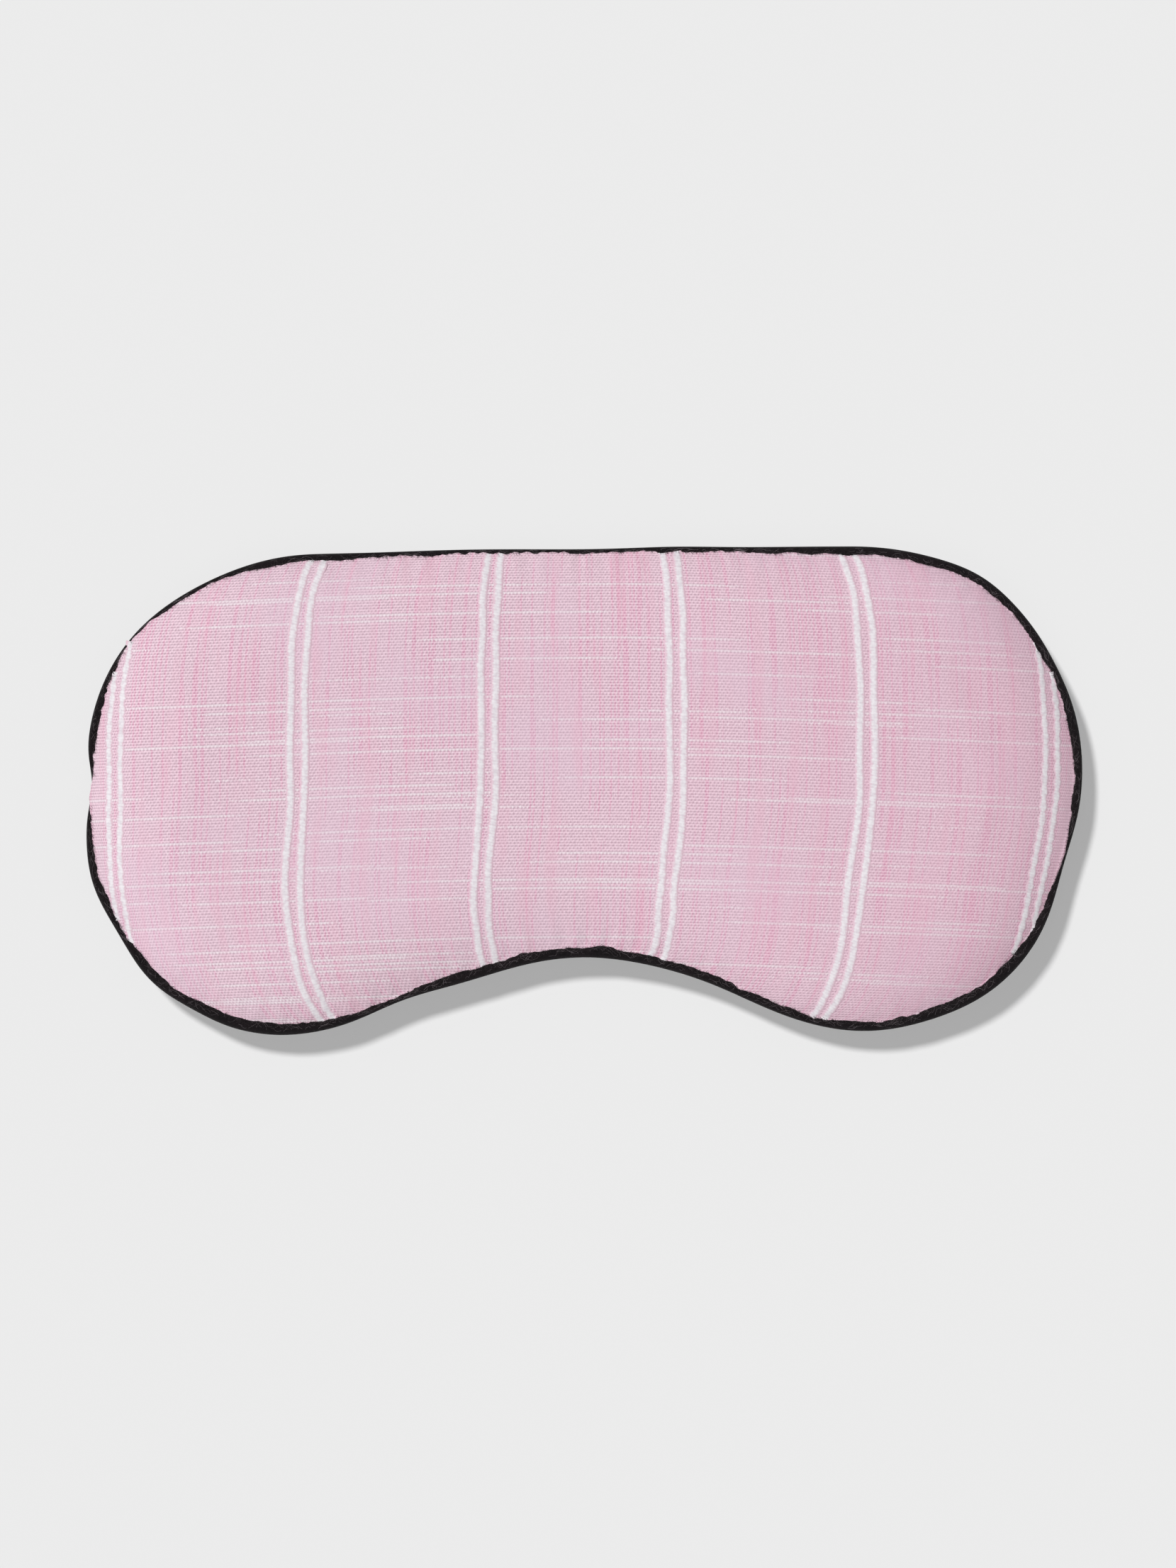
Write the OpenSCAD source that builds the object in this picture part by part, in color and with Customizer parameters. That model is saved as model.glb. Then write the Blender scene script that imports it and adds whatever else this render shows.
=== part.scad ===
// Padded sleep eye mask, lying face up on its elastic strap.
// X runs across the mask, Y from the nose notch up to the brow, Z out of the face.
// The origin is under the middle of the mask, on the surface it lies on.

/* [Outline] */
// Overall width, side to side
mask_w = 205; // [190:1:220]
// Overall height, brow edge to the bottom of the lobes
mask_h = 100; // [90:1:112]
// How far the nose notch rises above the bottom of the lobes
nose_rise = 15.5; // [8:0.5:24]
// Distance from the middle to the lowest point of each lobe
lobe_x = 60; // [52:1:68]
// Distance from the middle to where the brow edge turns down
brow_x = 55; // [45:1:65]
// How far the brow edge sags in the middle
brow_sag = 0.6; // [0:0.1:2]
// Height of the widest point above mid-height
side_y = 2; // [-6:0.5:6]
// Squareness of the upper corners, where 2 is a true ellipse
upper_square = 2.15; // [2:0.05:2.6]
// Squareness of the lower corners, where 2 is a true ellipse
lower_square = 2.05; // [2:0.05:2.6]

/* [Padding] */
// How far the face swells above its own edge
face_rise = 4.5; // [3.5:0.5:8]
// Distance in from the face's edge over which it swells
face_round = 17; // [14:1:22]
// Fullness of the face's swell, where more is steeper at its edge and flatter inside
face_full = 2.3; // [2:0.1:3.2]
// How much lower the face lies over the bridge of the nose
bridge_dip = 1; // [0:0.25:3]
// Half width of the dip over the bridge
bridge_w = 26; // [15:1:40]
// How far the back swells below the rolled rim
back_drop = 4.2; // [3.4:0.1:7]
// Distance in from the rolled rim over which the back swells
back_round = 24; // [20:1:30]

/* [Cloth] */
// Thickness of the woven face
face_t = 0.5; // [0.3:0.05:0.9]
// Thickness of the fleece back
back_t = 1.2; // [0.8:0.1:1.6]
// Thickness of the light-blocking interlining
interlining_t = 0.35; // [0.2:0.05:0.6]
// Radius of the rim that the back makes where it rolls over the edge
rim_r = 1.6; // [1.2:0.1:2.2]
// Width of the rim that shows outside the face
rim_show = 1.5; // [1:0.1:2]
// Space between two layers that lie on each other
layer_gap = 0.2; // [0.15:0.01:0.3]
// Space between the rolled rim and the edge of the filling
filling_inset = 1.6; // [1.2:0.1:3]

/* [Strap] */
// Width of the elastic
strap_w = 20; // [15:1:25]
// Thickness of the elastic
strap_t = 1; // [0.7:0.1:1.2]
// Distance from the side of the mask to the end of the elastic
strap_inset = 6.5; // [5.5:0.5:7.5]
// Elastic left past its tack
strap_tail = 4; // [3.5:0.25:5]
// Space between the elastic and the back
strap_gap = 0.3; // [0.2:0.05:0.5]

/* [Stitching] */
// Radius of the seam thread
seam_r = 0.3; // [0.2:0.05:0.45]
// Distance between two closing stitches
stitch_pitch = 2.75; // [2:0.25:4]
// Radius of a closing stitch
stitch_r = 0.22; // [0.15:0.01:0.35]
// How far a closing stitch reaches to each side of the seam
stitch_reach = 0.8; // [0.6:0.05:1.2]
// Length of the turning gap that the closing stitches close
gap_len = 30; // [18:1:36]
// Distance from the middle of the brow to the middle of the turning gap
gap_x = 27; // [20:1:33]
// Thickness of a tack's row of thread, where it goes through the elastic
tack_t = 0.9; // [0.6:0.1:1.2]
// Width of the zigzag that shows under the elastic
tack_zigzag = 2; // [1.6:0.1:2.4]
// Height of the zigzag that shows under the elastic
tack_h = 0.4; // [0.2:0.05:0.5]
// Elastic left free at each end of a tack
tack_margin = 2; // [1:0.5:4]
// Space between a tack's thread and the elastic
tack_clear = 0.15; // [0.1:0.05:0.25]
// How far a tack goes into the back
tack_bite = 0.8; // [0.4:0.1:0.8]

/* [Hidden] */

// Points on each stretch of half the outline
brow_n = 5;
corner_n = 9;
nose_n = 7;

brow_y = mask_h / 2;
lobe_y = -mask_h / 2;
nose_y = lobe_y + nose_rise;
half_w = mask_w / 2;

// The rings of a layer run in from its edge by these steps, then close on the middle
middle = [0, 4];
middle_shares = [0.62, 0.3];
// The face and the wadding share their rings, from the edge of the filling to the end of the swell
padded_shares = [0, 0.22, 0.52, 1];
face_edge_share = 0.3;
interlining_steps = [0, 5, 11, 20];
back_steps = [0, 4, 10, 20];

// Heights, from the surface the mask lies on
belly_z = strap_t + strap_gap;
rim_bottom_z = belly_z + back_drop;
rim_z = rim_bottom_z + rim_r;
face_edge_z = rim_z + rim_r + layer_gap;
rim_edge_h = rim_r / 4;

strap_half = half_w - strap_inset;
tack_x = strap_half - strap_tail;
tack_len = strap_w - 2 * tack_margin;
rim_w = 2 * rim_r;
filling_edge = rim_w + filling_inset;
padded_end = rim_show + face_round;
padded_rings = [for (share = padded_shares) filling_edge + (padded_end - filling_edge) * share];
face_rings = concat(
    [rim_show, rim_show + (filling_edge - rim_show) * face_edge_share],
    padded_rings
);
seam_z = face_edge_z - layer_gap / 2;
gap_start = gap_x - gap_len / 2;
gap_end = gap_x + gap_len / 2;
thread_sides = 6;
// Elastic stations on the stretch that rises to its tack
rise_n = 6;

// Half the outline, from the middle of the brow round the side to the nose notch
function brow_height(x) = brow_y - brow_sag * (1 + cos(180 * x / brow_x)) / 2;
brow_points = [
    for (i = [0:brow_n - 1])
        let (x = brow_x * i / brow_n)
        [x, brow_height(x)]
];
upper_points = [
    for (i = [0:corner_n - 1])
        let (a = 90 - 90 * i / corner_n)
        [
            brow_x + (half_w - brow_x) * pow(cos(a), 2 / upper_square),
            side_y + (brow_y - side_y) * pow(sin(a), 2 / upper_square)
        ]
];
lower_points = [
    for (i = [0:corner_n - 1])
        let (a = 90 * i / corner_n)
        [
            lobe_x + (half_w - lobe_x) * pow(cos(a), 2 / lower_square),
            side_y + (lobe_y - side_y) * pow(sin(a), 2 / lower_square)
        ]
];
nose_points = [
    for (i = [0:nose_n])
        let (x = lobe_x * (1 - i / nose_n))
        [x, nose_y - nose_rise * (1 - cos(180 * x / lobe_x)) / 2]
];
right_half = concat(brow_points, upper_points, lower_points, nose_points);
outline = concat(
    right_half,
    [for (i = [len(right_half) - 2:-1:1]) [-right_half[i].x, right_half[i].y]]
);
count = len(outline);

// Outward normal of the outline at each of its points
normals = [
    for (i = [0:count - 1])
        let (along = outline[(i + 1) % count] - outline[(i + count - 1) % count])
        [-along.y, along.x] / norm(along)
];

// Swell of a padded layer, from 0 at its edge to 1 at distance reach inside it
function swell(inside, reach) =
    inside >= reach ? 1 : inside <= 0 ? 0 : sqrt(1 - pow(1 - inside / reach, 2));

// Swell of the face, which leaves its seam at a slope and not upright
function face_swell(inside) =
    1 - pow(1 - min(1, max(0, inside / face_round)), face_full);

// Rise of the face above its edge, lower over the bridge of the nose
function rise_at(x) = face_rise - bridge_dip * exp(-pow(x / bridge_w, 2));

// Underside of the back, at a distance inside the outline
function back_under(inside) =
    inside < rim_r
        ? rim_z - max(rim_edge_h, sqrt(pow(rim_r, 2) - pow(rim_r - inside, 2)))
        : rim_bottom_z - back_drop * swell(inside - rim_r, back_round);

// Upper side of the back: the rolled rim outside, the plain cloth inside it
function back_over(inside) =
    inside < rim_w
        ? rim_z + max(rim_edge_h, sqrt(pow(rim_r, 2) - pow(rim_r - inside, 2)))
        : back_under(inside) + back_t;

function interlining_under(inside) = back_over(inside) + layer_gap;
function interlining_over(inside) = interlining_under(inside) + interlining_t;
function wadding_under(inside) = interlining_over(inside) + layer_gap;

// Underside of the face, and the top of the wadding that fills it
function face_under(inside, x) =
    face_edge_z + rise_at(x) * face_swell(inside - rim_show);
function wadding_over(inside, x) = face_under(inside, x) - layer_gap;

// Underside of the elastic, which follows the back up to its ends
function strap_under(x) = back_under(half_w - abs(x)) - strap_gap - strap_t;

// Rings of a layer as [x, y, distance inside the outline], from its edge to the middle
function ring(inside) =
    [for (i = [0:count - 1]) concat(outline[i] - normals[i] * inside, [inside])];
function inner_ring(inside, share) =
    [
        for (i = [0:count - 1])
            let (
                start = outline[i] - normals[i] * inside,
                spot = middle + (start - middle) * share
            )
            concat(spot, [inside + (start - spot) * normals[i]])
    ];
function rings(insets) =
    concat(
        [for (inside = insets) ring(inside)],
        [for (share = middle_shares) inner_ring(insets[len(insets) - 1], share)]
    );

// A closed layer over the rings, between a lower and an upper height at each point
module layer(rings, middle_depth, under, over) {
    n = len(rings);
    top_middle = n * count;
    below = top_middle + 1;
    spots = [for (r = rings) each r];
    points = concat(
        [for (p = spots) [p.x, p.y, over(p.z, p.x)]],
        [concat(middle, [over(middle_depth, middle.x)])],
        [for (p = spots) [p.x, p.y, under(p.z, p.x)]],
        [concat(middle, [under(middle_depth, middle.x)])]
    );
    bands = [
        for (k = [0:n - 2], i = [0:count - 1])
            let (j = (i + 1) % count, a = k * count, b = a + count)
            each [[a + i, a + j, b + j], [a + i, b + j, b + i]]
    ];
    last = top_middle - count;
    caps = [for (i = [0:count - 1]) [last + i, last + (i + 1) % count, top_middle]];
    upper = concat(bands, caps);
    lower = [for (f = upper) [f[2] + below, f[1] + below, f[0] + below]];
    wall = [
        for (i = [0:count - 1])
            let (j = (i + 1) % count)
            each [[j, i, i + below], [j, i + below, j + below]]
    ];
    polyhedron(points, concat(upper, lower, wall));
}

// A closed tube along points, with its rings upright and square to the path
module tube(path, radius) {
    last = len(path) - 1;
    points = [
        for (i = [0:last])
            let (
                along = path[min(i + 1, last)] - path[max(i - 1, 0)],
                across = [-along.y, along.x, 0] / norm([along.x, along.y])
            )
            for (s = [0:thread_sides - 1])
                let (a = 360 * s / thread_sides)
                path[i] + radius * (across * cos(a) + [0, 0, sin(a)])
    ];
    skin = [
        for (i = [0:last - 1], s = [0:thread_sides - 1])
            let (t = (s + 1) % thread_sides, a = i * thread_sides, b = a + thread_sides)
            each [[a + s, b + s, b + t], [a + s, b + t, a + t]]
    ];
    polyhedron(
        points,
        concat(
            skin,
            [[for (s = [0:thread_sides - 1]) s]],
            [[for (s = [thread_sides - 1:-1:0]) last * thread_sides + s]]
        )
    );
}

// Woven cotton face, swelling over both eyes
module face_panel() {
    color("#ddc0cc")
        layer(
            rings(face_rings),
            half_w,
            function (inside, x) face_under(inside, x),
            function (inside, x) face_under(inside, x) + face_t
        );
}

// Polyester wadding that fills the space between the face and the interlining
module wadding() {
    color("#f2f0ec")
        layer(
            rings(padded_rings),
            half_w,
            function (inside, x) wadding_under(inside),
            function (inside, x) wadding_over(inside, x)
        );
}

// Dense dark cloth that stops light, lying on the back
module blackout_interlining() {
    color("#3a3a40")
        layer(
            rings([for (step = interlining_steps) filling_edge + step]),
            half_w,
            function (inside, x) interlining_under(inside),
            function (inside, x) interlining_over(inside)
        );
}

// Fleece back, rolled over the edge so that it shows as a dark rim
module back_panel() {
    roll = [0, rim_r / 3, rim_r, rim_w - rim_r / 3];
    color("#2a2528")
        layer(
            rings(concat(roll, [for (step = back_steps) rim_w + back_t / 3 + step])),
            half_w,
            function (inside, x) back_under(inside),
            function (inside, x) back_over(inside)
        );
}

// Machine seam that joins the face to the rolled rim, open at the turning gap left of the nose
module seam_thread() {
    function brow_spot(x) = [-x, brow_height(x) - rim_show, seam_z];
    function on_left_brow(i) = i > count / 2 && outline[i].y > side_y;
    function past_gap(i) = on_left_brow(i) && outline[i].x > -gap_start;
    function before_gap(i) = !on_left_brow(i) || outline[i].x < -gap_end;
    edge = [for (i = [0:count - 1]) concat(outline[i] - normals[i] * rim_show, [seam_z])];
    path = concat(
        [brow_spot(gap_start)],
        [for (i = [0:count - 1]) if (past_gap(i)) edge[i]],
        [for (i = [0:count - 1]) if (before_gap(i)) edge[i]],
        [brow_spot(gap_end)]
    );
    color("#1f1b1e")
        tube(path, seam_r);
}

// Hand stitches that close the turning gap
module closing_stitches() {
    n = floor(gap_len / stitch_pitch);
    color("#d9b9c6")
        for (i = [0:n - 1]) {
            x = gap_x + (i - (n - 1) / 2) * stitch_pitch;
            translate([-x, brow_height(x) - rim_show, seam_z])
                rotate([90, 0, 0])
                    cylinder(h = 2 * stitch_reach, r = stitch_r, center = true, $fn = 24);
        }
}

// Elastic strap, lying flat under the back between its two tacks
module elastic_strap() {
    slot = [tack_t, tack_len] + 2 * [tack_clear, tack_clear];
    flat_half = half_w - rim_r - back_round;
    rising = [for (i = [0:rise_n]) flat_half + (strap_half - flat_half) * i / rise_n];
    stations = concat([for (i = [rise_n:-1:0]) -rising[i]], rising);
    under = [for (x = stations) [x, strap_under(x)]];
    over = [for (i = [len(under) - 1:-1:0]) under[i] + [0, strap_t]];
    color("#242226")
        difference() {
            translate([0, side_y + strap_w / 2, 0])
                rotate([90, 0, 0])
                    linear_extrude(strap_w)
                        polygon(concat(under, over));
            for (side = [-1, 1])
                translate([side * tack_x, side_y, 0])
                    cube([slot.x, slot.y, 2 * rim_z], center = true);
        }
}

// Bar tack: a zigzag under the elastic, through it and into the back
module strap_tack(side) {
    zigzag_top = strap_under(tack_x - tack_zigzag / 2) - tack_clear;
    top = back_under(half_w - tack_x) + tack_bite;
    color("#171518")
        translate([side * tack_x, side_y, 0]) {
            translate([0, 0, zigzag_top - tack_h / 2])
                cube([tack_zigzag, tack_len, tack_h], center = true);
            translate([-tack_t / 2, -tack_len / 2, zigzag_top - tack_h])
                cube([tack_t, tack_len, top - zigzag_top + tack_h]);
        }
}

module left_strap_tack() {
    strap_tack(-1);
}

module right_strap_tack() {
    strap_tack(1);
}

face_panel();
wadding();
blackout_interlining();
back_panel();
seam_thread();
closing_stitches();
elastic_strap();
left_strap_tack();
right_strap_tack();
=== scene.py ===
"""Padded sleep mask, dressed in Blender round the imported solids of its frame.

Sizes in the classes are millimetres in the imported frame: X runs across the mask, Y up towards the brow and
Z up from the table that it lies on. Meshes become metres when they are made.
"""

import logging
import math
from collections.abc import Iterable
from dataclasses import dataclass, field
from enum import Enum
from typing import Any

import bpy
import numpy as np
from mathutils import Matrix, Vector


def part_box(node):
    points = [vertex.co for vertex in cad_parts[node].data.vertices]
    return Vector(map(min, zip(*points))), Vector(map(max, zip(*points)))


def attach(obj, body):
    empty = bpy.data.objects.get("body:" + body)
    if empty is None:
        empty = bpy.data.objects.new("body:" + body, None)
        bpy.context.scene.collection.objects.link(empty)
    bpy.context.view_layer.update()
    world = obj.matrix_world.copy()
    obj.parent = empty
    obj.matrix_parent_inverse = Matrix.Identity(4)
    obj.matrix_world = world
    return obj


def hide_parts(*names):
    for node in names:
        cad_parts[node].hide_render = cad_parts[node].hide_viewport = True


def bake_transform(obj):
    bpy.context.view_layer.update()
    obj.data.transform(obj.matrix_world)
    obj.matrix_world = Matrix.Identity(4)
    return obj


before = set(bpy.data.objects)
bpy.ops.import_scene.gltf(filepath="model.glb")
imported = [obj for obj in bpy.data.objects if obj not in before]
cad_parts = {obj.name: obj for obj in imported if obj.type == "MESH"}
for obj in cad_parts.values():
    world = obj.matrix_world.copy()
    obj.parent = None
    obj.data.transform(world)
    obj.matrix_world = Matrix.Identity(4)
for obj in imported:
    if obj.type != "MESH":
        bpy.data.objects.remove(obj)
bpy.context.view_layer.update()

log = logging.getLogger("sleep_mask")

Array = np.ndarray
Object = bpy.types.Object
Material = bpy.types.Material
Node = bpy.types.Node
Socket = bpy.types.NodeSocket

MM = 0.001
TAU = 2 * math.pi
CHUNK = 4000
CLOTH_UV = "cloth"
ALONG = "along"
ACROSS = "across"
LIFT = "lift"


class Body(Enum):
    """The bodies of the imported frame."""

    MASK = "mask"
    STRAP = "strap"


class Slot(Enum):
    """The record's material slots."""

    FACE = "face_cotton"
    WADDING = "wadding"
    INTERLINING = "interlining"
    BACK = "back_fleece"
    DARK_THREAD = "dark_thread"
    PALE_THREAD = "pale_thread"
    ELASTIC = "elastic"


class Side(Enum):
    """The wearer's two ends of the strap, as signs of X."""

    LEFT = -1
    RIGHT = 1


def linear(code: str) -> tuple[float, float, float, float]:
    """Turns an sRGB hex colour into linear values.

    Args:
        code: Colour such as #ECECEC.

    Returns:
        Linear red, green, blue and an alpha of 1.
    """
    parts = [int(code[i : i + 2], 16) / 255 for i in (1, 3, 5)]
    red, green, blue = (c / 12.92 if c <= 0.04045 else ((c + 0.055) / 1.055) ** 2.4 for c in parts)
    return red, green, blue, 1.0


def add(tree: bpy.types.NodeTree, kind: str, feed: dict | None = None, **settings: Any) -> Node:
    """Adds one node with its settings, values and links.

    Args:
        tree: Tree that gets the node.
        kind: Blender's name of the node type.
        feed: Value, socket or node for each input, by its name or number.
        **settings: Properties of the node.

    Returns:
        The new node.
    """
    made = tree.nodes.new(kind)
    for name, value in settings.items():
        setattr(made, name, value)
    for key, value in (feed or {}).items():
        if isinstance(value, bpy.types.Node):
            value = value.outputs[0]
        if isinstance(value, bpy.types.NodeSocket):
            tree.links.new(value, made.inputs[key])
        else:
            made.inputs[key].default_value = value
    return made


def per(size: float) -> float:
    """Turns a size in millimetres into a rate per metre."""
    return 1 / (size * MM)


def link(name: str, data: Any) -> Object:
    """Puts a new object into the scene.

    Args:
        name: Name of the object.
        data: Its mesh, lamp or lens.

    Returns:
        The object, at the origin.
    """
    made = bpy.data.objects.new(name, data)
    bpy.context.scene.collection.objects.link(made)
    return made


def waves(share: Array, *parts: tuple[float, int, Any]) -> Array:
    """Sums waves round a loop, each with its height, count and shift, at shares of the way round."""
    return sum(height * np.sin(TAU * count * share + shift) for height, count, shift in parts)


def swell(depth: Array, reach: float) -> Array:
    """Rounded rise of padding from its sewn edge, as a share of the rise at the reach and beyond."""
    return np.sqrt(1 - (1 - np.clip(depth / reach, 0, 1)) ** 2)


def ease(share: Array) -> Array:
    """Smooth step of a share from 0 to 1."""
    t = np.clip(share, 0, 1)
    return t * t * (3 - 2 * t)


def even_loop(points: Array, count: int) -> Array:
    """Spaces a closed curve evenly.

    Args:
        points: Corners of the curve, the first not repeated.
        count: Number of points wanted.

    Returns:
        Points at equal steps along the curve.
    """
    closed = np.vstack([points, points[:1]])
    run = np.r_[0, np.cumsum(np.linalg.norm(np.diff(closed, axis=0), axis=1))]
    at = np.linspace(0, run[-1], count + 1)[:-1]
    return np.stack([np.interp(at, run, closed[:, k]) for k in range(closed.shape[1])], axis=1)


def outward(loop: Array) -> Array:
    """Unit normals of a loop in the plane.

    Args:
        loop: Points of the loop, clockwise.

    Returns:
        The outward normal at each point.
    """
    along = np.roll(loop, -1, axis=0) - np.roll(loop, 1, axis=0)
    along /= np.linalg.norm(along, axis=1)[:, None]
    return np.stack([-along[:, 1], along[:, 0]], axis=1)


def even_out(values: Array, reach: int) -> Array:
    """Evens out values along a closed loop, over a reach of points to either side."""
    run = np.concatenate([values[-reach:], values, values[:reach]]).cumsum(0)
    return (run[2 * reach :] - run[: -2 * reach]) / (2 * reach)


def nearest(loop: Array, points: Array) -> Array:
    """Finds the nearest point of a loop for each point.

    Args:
        loop: Points of the loop.
        points: Points of any array shape, with x and y last.

    Returns:
        Number of the nearest loop point.
    """
    flat = points.reshape(-1, 2)
    near = np.empty(len(flat), int)
    for first in range(0, len(flat), CHUNK):
        part = flat[first : first + CHUNK]
        gap = (loop**2).sum(1) - 2 * part @ loop.T
        near[first : first + CHUNK] = gap.argmin(1)
    return near.reshape(points.shape[:-1])


def depth_inside(loop: Array, points: Array) -> Array:
    """Distance of points, with x and y last, inside an even clockwise loop, and 0 outside it."""
    near = nearest(loop, points)
    return np.maximum(((loop[near] - points) * outward(loop)[near]).sum(-1), 0)


def spread_lattice(grid: Array, rows: int, columns: int) -> Array:
    """Spreads values of a coarse lattice smoothly over a finer one.

    Args:
        grid: Values by row and column.
        rows: Steps of the finer lattice along the first axis.
        columns: Steps along the second.

    Returns:
        The finer lattice of values.
    """
    for axis, steps in ((0, rows), (1, columns)):
        values = np.moveaxis(grid, axis, 0)
        last = len(values) - 1
        at = np.linspace(0, last, steps + 1)
        k = np.minimum(at.astype(int), last - 1)
        t = (at - k).reshape(-1, *([1] * (values.ndim - 1)))
        a, b, c, d = (values[np.clip(k + shift, 0, last)] for shift in (-1, 0, 1, 2))
        curve = 2 * b + (c - a) * t + (2 * a - 5 * b + 4 * c - d) * t**2 + (3 * b - 3 * c + d - a) * t**3
        grid = np.moveaxis(curve / 2, 0, axis)
    return grid


def make_piece(name: str, points: Array, faces: list, finish: Material, uv: Array | None = None) -> Object:
    """Makes a smooth mesh piece.

    Args:
        name: Name of the piece.
        points: Corners in millimetres.
        faces: Corner numbers of each face.
        finish: Material of the whole piece.
        uv: Place of each corner on the flat cloth, in millimetres.

    Returns:
        The new object, at the origin.
    """
    mesh = bpy.data.meshes.new(name)
    mesh.from_pydata((points * MM).tolist(), [], faces)
    if uv is not None:
        corner = np.empty(len(mesh.loops), np.int32)
        mesh.loops.foreach_get("vertex_index", corner)
        layer = mesh.uv_layers.new(name=CLOTH_UV)
        layer.data.foreach_set("uv", (uv[corner] * MM).astype(np.float32).ravel())
    mesh.shade_smooth()
    mesh.materials.append(finish)
    return link(name, mesh)


def make_paths(name: str, paths: Iterable[Array], lifts: Iterable[Array] = ()) -> Object:
    """Makes an object of bare edges for a node tree to follow.

    Args:
        name: Name of the object.
        paths: Points of each open path, in millimetres.
        lifts: The way up from the cloth at each point, where it isn't plain up.

    Returns:
        The new object.
    """
    points: list = []
    edges: list = []
    for path in paths:
        first = len(points)
        points.extend((path * MM).tolist())
        edges.extend((k, k + 1) for k in range(first, len(points) - 1))
    mesh = bpy.data.meshes.new(name)
    mesh.from_pydata(points, edges, [])
    up = np.vstack([*lifts]) if lifts else np.tile((0.0, 0.0, 1.0), (len(points), 1))
    lift = mesh.attributes.new(LIFT, "FLOAT_VECTOR", "POINT")
    lift.data.foreach_set("vector", up.astype(np.float32).ravel())
    return link(name, mesh)


def grow(source: Object, tree: bpy.types.NodeTree, name: str, **values: Any) -> Object:
    """Runs a geometry tree on an object and keeps the result as a plain mesh.

    Args:
        source: Object that the tree works on, used up here.
        tree: Geometry tree with named inputs.
        name: Name of the finished piece.
        **values: Value of each input, with _ for a space in its name.

    Returns:
        The finished piece.
    """
    modifier = source.modifiers.new(tree.name, "NODES")
    modifier.node_group = tree
    sockets = {s.name: s.identifier for s in tree.interface.items_tree if s.in_out == "INPUT"}
    for key, value in values.items():
        modifier[sockets[key.replace("_", " ")]] = value
    depsgraph = bpy.context.evaluated_depsgraph_get()
    shown = source.evaluated_get(depsgraph)
    mesh = bpy.data.meshes.new_from_object(shown, preserve_all_data_layers=True, depsgraph=depsgraph)
    source.modifiers.remove(modifier)
    bpy.data.objects.remove(source)
    mesh.name = name
    return link(name, mesh)


def lattice_faces(rows: int, columns: int) -> tuple[list, list]:
    """Faces of an upward lattice and its border.

    Args:
        rows: Steps up.
        columns: Steps across.

    Returns:
        The lattice's faces, and the corner numbers round its border, anticlockwise.
    """
    n = np.arange((rows + 1) * (columns + 1)).reshape(rows + 1, columns + 1)
    faces = np.stack([n[:-1, :-1], n[:-1, 1:], n[1:, 1:], n[1:, :-1]], axis=-1).reshape(-1, 4)
    border = np.r_[n[0, :-1], n[:-1, -1], n[-1, :0:-1], n[:0:-1, 0]]
    return faces.tolist(), border.tolist()


def closed_shell(top: Array, low: Array) -> tuple[Array, list]:
    """Joins two lattices of one outline into a closed shell.

    Args:
        top: Upper lattice of points.
        low: Lower lattice of the same size.

    Returns:
        Points and faces of the shell.
    """
    faces, border = lattice_faces(top.shape[0] - 1, top.shape[1] - 1)
    count = top.shape[0] * top.shape[1]
    under = [[count + k for k in reversed(face)] for face in faces]
    after = border[1:] + border[:1]
    sides = [[count + a, count + b, b, a] for a, b in zip(border, after)]
    return np.vstack([top.reshape(-1, 3), low.reshape(-1, 3)]), faces + under + sides


def dress(piece: Object, body: Body | None, slot: Slot, *nodes: str) -> Object:
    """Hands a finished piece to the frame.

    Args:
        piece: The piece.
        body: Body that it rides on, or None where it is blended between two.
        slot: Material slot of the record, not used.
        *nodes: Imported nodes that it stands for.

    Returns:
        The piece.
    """
    if body is not None:
        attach(piece, body.value)
    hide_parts(*nodes)
    log.info("%s: %d faces, stands for %s", piece.name, len(piece.data.polygons), nodes or "itself")
    return piece


class Tree:
    """A node tree that sums can be added to."""

    def __init__(self, tree: bpy.types.NodeTree) -> None:
        """Takes a tree and empties it."""
        self.tree = tree
        tree.nodes.clear()

    def math(self, operation: str, *values: Any) -> Node:
        """Adds one sum of up to three numbers, sockets or nodes."""
        return add(self.tree, "ShaderNodeMath", dict(enumerate(values)), operation=operation)

    def vector(self, x: Any = 0.0, y: Any = 0.0, z: Any = 0.0) -> Node:
        """Joins three values as a vector."""
        return add(self.tree, "ShaderNodeCombineXYZ", {0: x, 1: y, 2: z})

    def split(self, vector: Any) -> Any:
        """Splits a vector into its three parts."""
        return add(self.tree, "ShaderNodeSeparateXYZ", {0: vector}).outputs


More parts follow.
